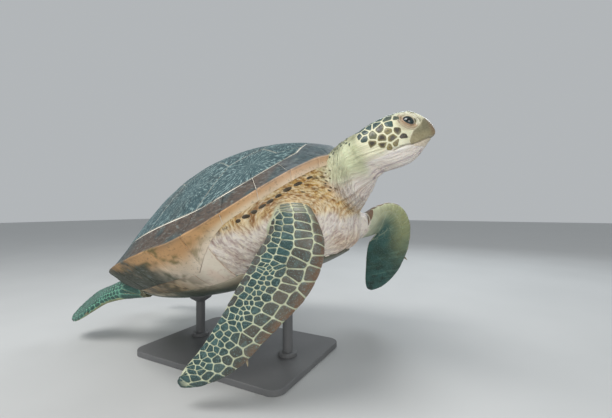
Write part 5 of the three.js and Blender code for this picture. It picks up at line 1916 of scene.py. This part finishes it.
# ---------------------------------------------------------------- materials
class Look:
    """A node material built round the tint that each mesh carries."""

    def __init__(self, name, roughness=0.5, coat=0.0, specular=0.5):
        self.material = bpy.data.materials.new(name)
        self.material.use_nodes = True
        self.tree = self.material.node_tree
        self.shader = self.tree.nodes["Principled BSDF"]
        self.set("Roughness", roughness)
        self.set("Coat Weight", coat)
        self.set("Coat Roughness", 0.12)
        self.set("Specular IOR Level", specular)
        self.place = self.node("ShaderNodeTexCoord").outputs["Object"]
        self.height = None

    def set(self, socket, value):
        self.shader.inputs[socket].default_value = value

    def node(self, kind, inputs=(), **settings):
        """A new node; inputs pairs the name of a socket with a fixed value or a link."""
        made = self.tree.nodes.new(kind)
        for key, value in settings.items():
            setattr(made, key, value)
        for socket, value in inputs:
            if isinstance(value, bpy.types.NodeSocket):
                self.tree.links.new(value, made.inputs[socket])
            else:
                made.inputs[socket].default_value = value
        return made

    def attribute(self, name, output="Color"):
        return self.node("ShaderNodeAttribute", attribute_name=name).outputs[output]

    def stretched(self, source, scale):
        return self.node("ShaderNodeMapping", [("Scale", scale), ("Vector", source)]).outputs["Vector"]

    def grain(self, scale, detail=3.0, source=None, distortion=0.0):
        return self.node("ShaderNodeTexNoise", [
            ("Scale", scale), ("Detail", detail), ("Distortion", distortion),
            ("Vector", source or self.place)]).outputs["Fac"]

    def pebbles(self, scale):
        inputs = [("Scale", scale), ("Vector", self.place)]
        return self.node("ShaderNodeTexVoronoi", inputs).outputs["Distance"]

    def range(self, value, low, high, to_low=0.0, to_high=1.0):
        return self.node("ShaderNodeMapRange", [
            ("From Min", low), ("From Max", high), ("To Min", to_low), ("To Max", to_high),
            ("Value", value)]).outputs["Result"]

    def blend(self, share, a, b, mode="MIX"):
        """Mixes colour a with b; either may be a link or a fixed colour."""
        a, b = ((*v, 1.0) if isinstance(v, tuple) else v for v in (a, b))
        return self.node("ShaderNodeMix", [("Factor", share), (6, a), (7, b)],
                         data_type="RGBA", blend_type=mode).outputs[2]

    def tinted(self):
        self.colour = self.attribute("tint")
        return self.colour

    def coat(self, source, limits, most, colour, mode="MIX", by=None):
        """Lays a colour where source passes the limits, up to the share most, times the link by."""
        share = self.range(source, *limits, 0, most)
        if by:
            share = self.node("ShaderNodeMath", [(0, share), (1, by)], operation="MULTIPLY").outputs["Value"]
        self.colour = self.blend(share, self.colour, colour, mode)

    def bump(self, height, depth_mm, strength):
        inputs = [("Distance", depth_mm / 1000), ("Strength", strength), ("Height", height)]
        if self.height:
            inputs.append(("Normal", self.height))
        self.height = self.node("ShaderNodeBump", inputs).outputs["Normal"]

    def done(self, source, low, high):
        """Links the colour, the relief and a roughness from low to high."""
        rough = self.range(source, 0.3, 0.7, low, high)
        for link, socket in ((self.colour, "Base Color"), (rough, "Roughness"), (self.height, "Normal")):
            if link:
                self.tree.links.new(link, self.shader.inputs[socket])
        return self.material


def scute_look():
    look = Look("carapace horn", coat=0.08, specular=0.35)
    streak = look.grain(1.0, 4, look.stretched(look.attribute("ray", "Vector"), (17, 17, 7)), 0.5)
    cloud, fleck, fine = look.grain(8, 4), look.grain(170, 3), look.grain(620, 2)
    look.tinted()
    look.coat(cloud, (0.42, 0.62), 0.5, (0.040, 0.085, 0.100))
    look.coat(streak, (0.46, 0.32), 0.75, (0.006, 0.018, 0.024))
    look.coat(streak, (0.53, 0.66), 0.65, (0.120, 0.190, 0.180))
    look.coat(streak, (0.55, 0.63), 1.0, (0.270, 0.390, 0.390), by=look.range(cloud, 0.40, 0.58, 0.10, 0.85))
    look.coat(fleck, (0.58, 0.65), 1.0, (0.300, 0.380, 0.370), by=look.range(streak, 0.40, 0.60, 0.15, 0.6))
    look.bump(streak, 0.9, 0.5)
    look.bump(fleck, 0.35, 0.4)
    look.bump(fine, 0.12, 0.5)
    return look.done(cloud, 0.42, 0.62)


def horn_look(name, low_rough, high_rough, coat, grain_scale, spots):
    look = Look(name, coat=coat)
    cloud, fleck, fine = look.grain(14, 4), look.grain(grain_scale, 4, distortion=0.3), look.grain(560, 2)
    streak = look.grain(1.0, 4, look.stretched(look.place, (70, 70, 170)), 0.6)
    brightness = look.node("ShaderNodeRGBToBW", [(0, look.tinted())]).outputs[0]
    dark = look.range(brightness, 0.16, 0.08)
    look.coat(cloud, (0.35, 0.68), 0.35, (0.62, 0.55, 0.50), "MULTIPLY")
    look.coat(fleck, (0.56, 0.70), spots, (0.035, 0.040, 0.022))
    look.coat(streak, (0.54, 0.68), 0.6, (0.150, 0.185, 0.175), by=dark)
    look.coat(streak, (0.46, 0.34), 0.7, (0.012, 0.016, 0.016), by=dark)
    look.bump(streak, 0.5, 0.35)
    look.bump(fleck, 0.5, 0.4)
    look.bump(fine, 0.12, 0.4)
    return look.done(cloud, low_rough, high_rough)


def skin_look():
    look = Look("skin", coat=0.05)
    flow, soft = look.attribute("flow", "Vector"), look.attribute("softness", "Fac")
    wrinkle = look.grain(1.0, 4, look.stretched(flow, (0.035, 0.21, 0.1)), 0.4)
    folds = look.grain(1.0, 2, look.stretched(flow, (0.012, 0.105, 0.03)), 0.5)
    fine, cloud = look.grain(240, 3, distortion=0.5), look.grain(22, 4)
    # Painted shade colour for the wrinkles' troughs: pinkish grey on the pale skin, brown in the ochre
    # pocket.
    crease_shade = look.blend(look.attribute("pocket", "Fac"), (0.70, 0.62, 0.62), (0.50, 0.32, 0.14))
    look.tinted()
    look.coat(cloud, (0.35, 0.68), 0.35, (0.66, 0.60, 0.50), "MULTIPLY")
    # Painted shade in the troughs of the wrinkles and folds.
    look.coat(wrinkle, (0.49, 0.38), 0.8, crease_shade, "MULTIPLY", by=soft)
    look.coat(folds, (0.48, 0.38), 0.6, crease_shade, "MULTIPLY", by=soft)
    # Painted highlight on the wrinkles' crests.
    look.coat(wrinkle, (0.54, 0.64), 0.5, (0.86, 0.78, 0.60), by=soft)
    look.bump(folds, 5.0, 0.8)
    look.bump(wrinkle, 2.2, 0.8)
    look.bump(fine, 0.4, 0.4)
    look.bump(look.pebbles(230), 0.35, 0.3)
    look.set("Subsurface Weight", 0.05)
    look.set("Subsurface Radius", (0.004, 0.002, 0.001))
    return look.done(cloud, 0.42, 0.62)


def scale_look(name, fleck_colour, amount, roughness):
    look = Look(name, coat=0.12)
    streak = look.grain(1.0, 3, look.stretched(look.attribute("ray", "Vector"), (14, 14, 8)), 0.5)
    cloud, fleck = look.grain(30, 4), look.grain(330, 3)
    look.tinted()
    look.coat(cloud, (0.35, 0.68), 0.5, (0.55, 0.50, 0.45), "MULTIPLY")
    look.coat(streak, (0.54, 0.74), 0.30, fleck_colour)
    look.coat(fleck, (0.56, 0.68), amount, fleck_colour)
    look.bump(streak, 0.6, 0.45)
    look.bump(fleck, 0.25, 0.4)
    return look.done(cloud, roughness - 0.08, roughness + 0.1)


def eye_look():
    look = Look("eye", roughness=0.04, coat=0.4, specular=0.4)
    depth = look.grain(260, 3)
    look.tinted()
    look.coat(depth, (0.4, 0.7), 0.3, (0.020, 0.040, 0.040))
    return look.done(depth, 0.03, 0.06)


def beak_look():
    look = Look("beak horn", coat=0.2)
    streak = look.grain(1.0, 4, look.stretched(look.place, (60, 260, 420)), 0.6)
    look.tinted()
    look.coat(streak, (0.36, 0.66), 0.6, (0.62, 0.55, 0.46), "MULTIPLY")
    look.bump(streak, 0.6, 0.5)
    look.bump(look.grain(420, 2), 0.1, 0.4)
    return look.done(streak, 0.34, 0.50)


def steel_look():
    """Powder-coated steel: grey, with a fine orange-peel surface."""
    look = Look("stand coating", specular=0.4)
    peel = look.grain(900, 2)
    shade = look.range(look.grain(6, 3), 0.3, 0.7)
    look.colour = look.blend(shade, (0.120, 0.122, 0.125), (0.150, 0.152, 0.155))
    look.bump(peel, 0.12, 0.35)
    return look.done(peel, 0.36, 0.50)


def floor_look():
    look = Look("studio floor", roughness=0.7)
    cloud = look.grain(2.5, 3)
    look.colour = look.blend(look.range(cloud, 0.3, 0.7), (0.50, 0.51, 0.51), (0.53, 0.54, 0.54))
    return look.done(cloud, 0.6, 0.72)


# ---------------------------------------------------------------- claws
# Base, pointing direction, length and radius of each claw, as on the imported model.
CLAWS = {
    "claw_fore_right": ((699, -301, -303), (0.25, -0.10, -0.96), 22, 4.6),
    "claw_fore_left": ((922, 463, -228), (0.55, 0.30, -0.72), 20, 4.4),
    "claw_hind_right": ((-32, -224, -130), (-0.45, -0.62, -0.55), 15, 3.2),
    "claw_hind_left": ((-32, 224, -130), (-0.45, 0.62, -0.55), 15, 3.2)}


CLAW_SIDES, CLAW_RINGS = 20, 22


def claws(material):
    for name, (base, aim, length, radius) in CLAWS.items():
        aim = unit(np.array(aim, float))
        bend = unit(np.cross(np.cross(aim, (-1.0, 0, 0.2)), aim))
        side = np.cross(aim, bend)
        f = round_turn(CLAW_SIDES)
        rings = []
        for t in np.linspace(0, 0.985, CLAW_RINGS):
            centre = np.array(base) + aim * length * (1.0 * t - 0.18) + bend * length * 0.16 * t * t
            r = radius * (1 - t**1.7) * 0.96 + 0.12
            rings.append(centre + r * (side * np.cos(f)[:, None] + bend * np.sin(f)[:, None] * 0.82))
        points, faces = loft(np.array(rings))
        batch = Batch()
        share = np.append(np.repeat(np.linspace(0, 1, CLAW_RINGS), CLAW_SIDES), [0, 1])
        batch.add(points, faces, mix((0.10, 0.085, 0.05), (0.42, 0.36, 0.22), share))
        piece = batch.build("horn_" + name, material)
        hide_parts(name)


# ---------------------------------------------------------------- the room
FOCAL_PIXELS = 344.5         # focal length over the picture's width of 612
PICTURE = (612, 418)
SENSOR = 36.0
CAMERA_PLACE = (0.7475, -0.9227, 0.4758)
CAMERA_AIM = (-0.472, 0.8816, 0.0)


def area_light(name, place, target, size, power, colour=(1, 1, 1)):
    data = bpy.data.lights.new(name, "AREA")
    data.shape = "RECTANGLE"
    data.size, data.size_y = size
    data.energy = power
    data.color = colour
    light = bpy.data.objects.new(name, data)
    light.location = place
    light.rotation_euler = (Vector(target) - Vector(place)).to_track_quat("-Z", "Y").to_euler()
    bpy.context.scene.collection.objects.link(light)


def studio():
    scene = bpy.context.scene
    floor = mesh_object("studio_floor", [(-14, -14, 0), (14, -14, 0), (14, 14, 0), (-14, 14, 0)],
                        [np.array([[0, 1, 2, 3]])], floor_look())
    world = bpy.data.worlds.new("studio")
    world.use_nodes = True
    world.node_tree.nodes["Background"].inputs["Color"].default_value = (0.86, 0.90, 0.93, 1)
    world.node_tree.nodes["Background"].inputs["Strength"].default_value = 0.52
    scene.world = world
    area_light("key", (-0.6, -1.6, 2.9), (0.1, 0, 0.3), (1.8, 1.4), 74, (1.0, 0.985, 0.96))
    area_light("front", (1.9, -2.2, 0.9), (0.3, -0.1, 0.3), (1.6, 1.2), 26, (1.0, 0.98, 0.95))
    area_light("back", (0.4, 2.6, 2.2), (0, 0, 0.4), (2.2, 1.2), 34, (0.9, 0.96, 1.0))
    scene.view_settings.view_transform = "Standard"


def camera():
    data = bpy.data.cameras.new("camera")
    data.sensor_fit = "HORIZONTAL"
    data.sensor_width = SENSOR
    data.lens = SENSOR * FOCAL_PIXELS / PICTURE[0]
    data.clip_start, data.clip_end = 0.02, 60
    seen = bpy.data.objects.new("camera", data)
    seen.location = CAMERA_PLACE
    seen.rotation_euler = Vector(CAMERA_AIM).to_track_quat("-Z", "Y").to_euler()
    bpy.context.scene.collection.objects.link(seen)
    bpy.context.scene.camera = seen


# ---------------------------------------------------------------- all together
def turtle():
    tree = build_skin(skin_look())
    carapace(scute_look())
    marginals(horn_look("marginal horn", 0.55, 0.72, 0.0, 150, 0.35))
    under_shell(horn_look("plastron horn", 0.40, 0.60, 0.08, 120, 0.10))
    shell_bed(horn_look("joint horn", 0.5, 0.6, 0.0, 90, 0.0))
    limb_scales(tree, scale_look("flipper scales", (0.20, 0.34, 0.33), 0.45, 0.42))
    head_scales(tree, scale_look("head scales", (0.16, 0.24, 0.20), 0.25, 0.40))
    beak(tree, beak_look())
    loose_scales(tree, scale_look("loose scales", (0.26, 0.22, 0.14), 0.3, 0.45))
    lids_and_eyes(tree, horn_look("eyelids", 0.36, 0.50, 0.1, 200, 0.15), eye_look())
    claws(horn_look("claws", 0.3, 0.45, 0.2, 180, 0.1))


steel = steel_look()
for node_name in ("stand_base", "stand_rod_rear", "stand_rod_front"):
    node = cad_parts[node_name]
    node.data.materials.clear()
    node.data.materials.append(steel)
turtle()
studio()
camera()
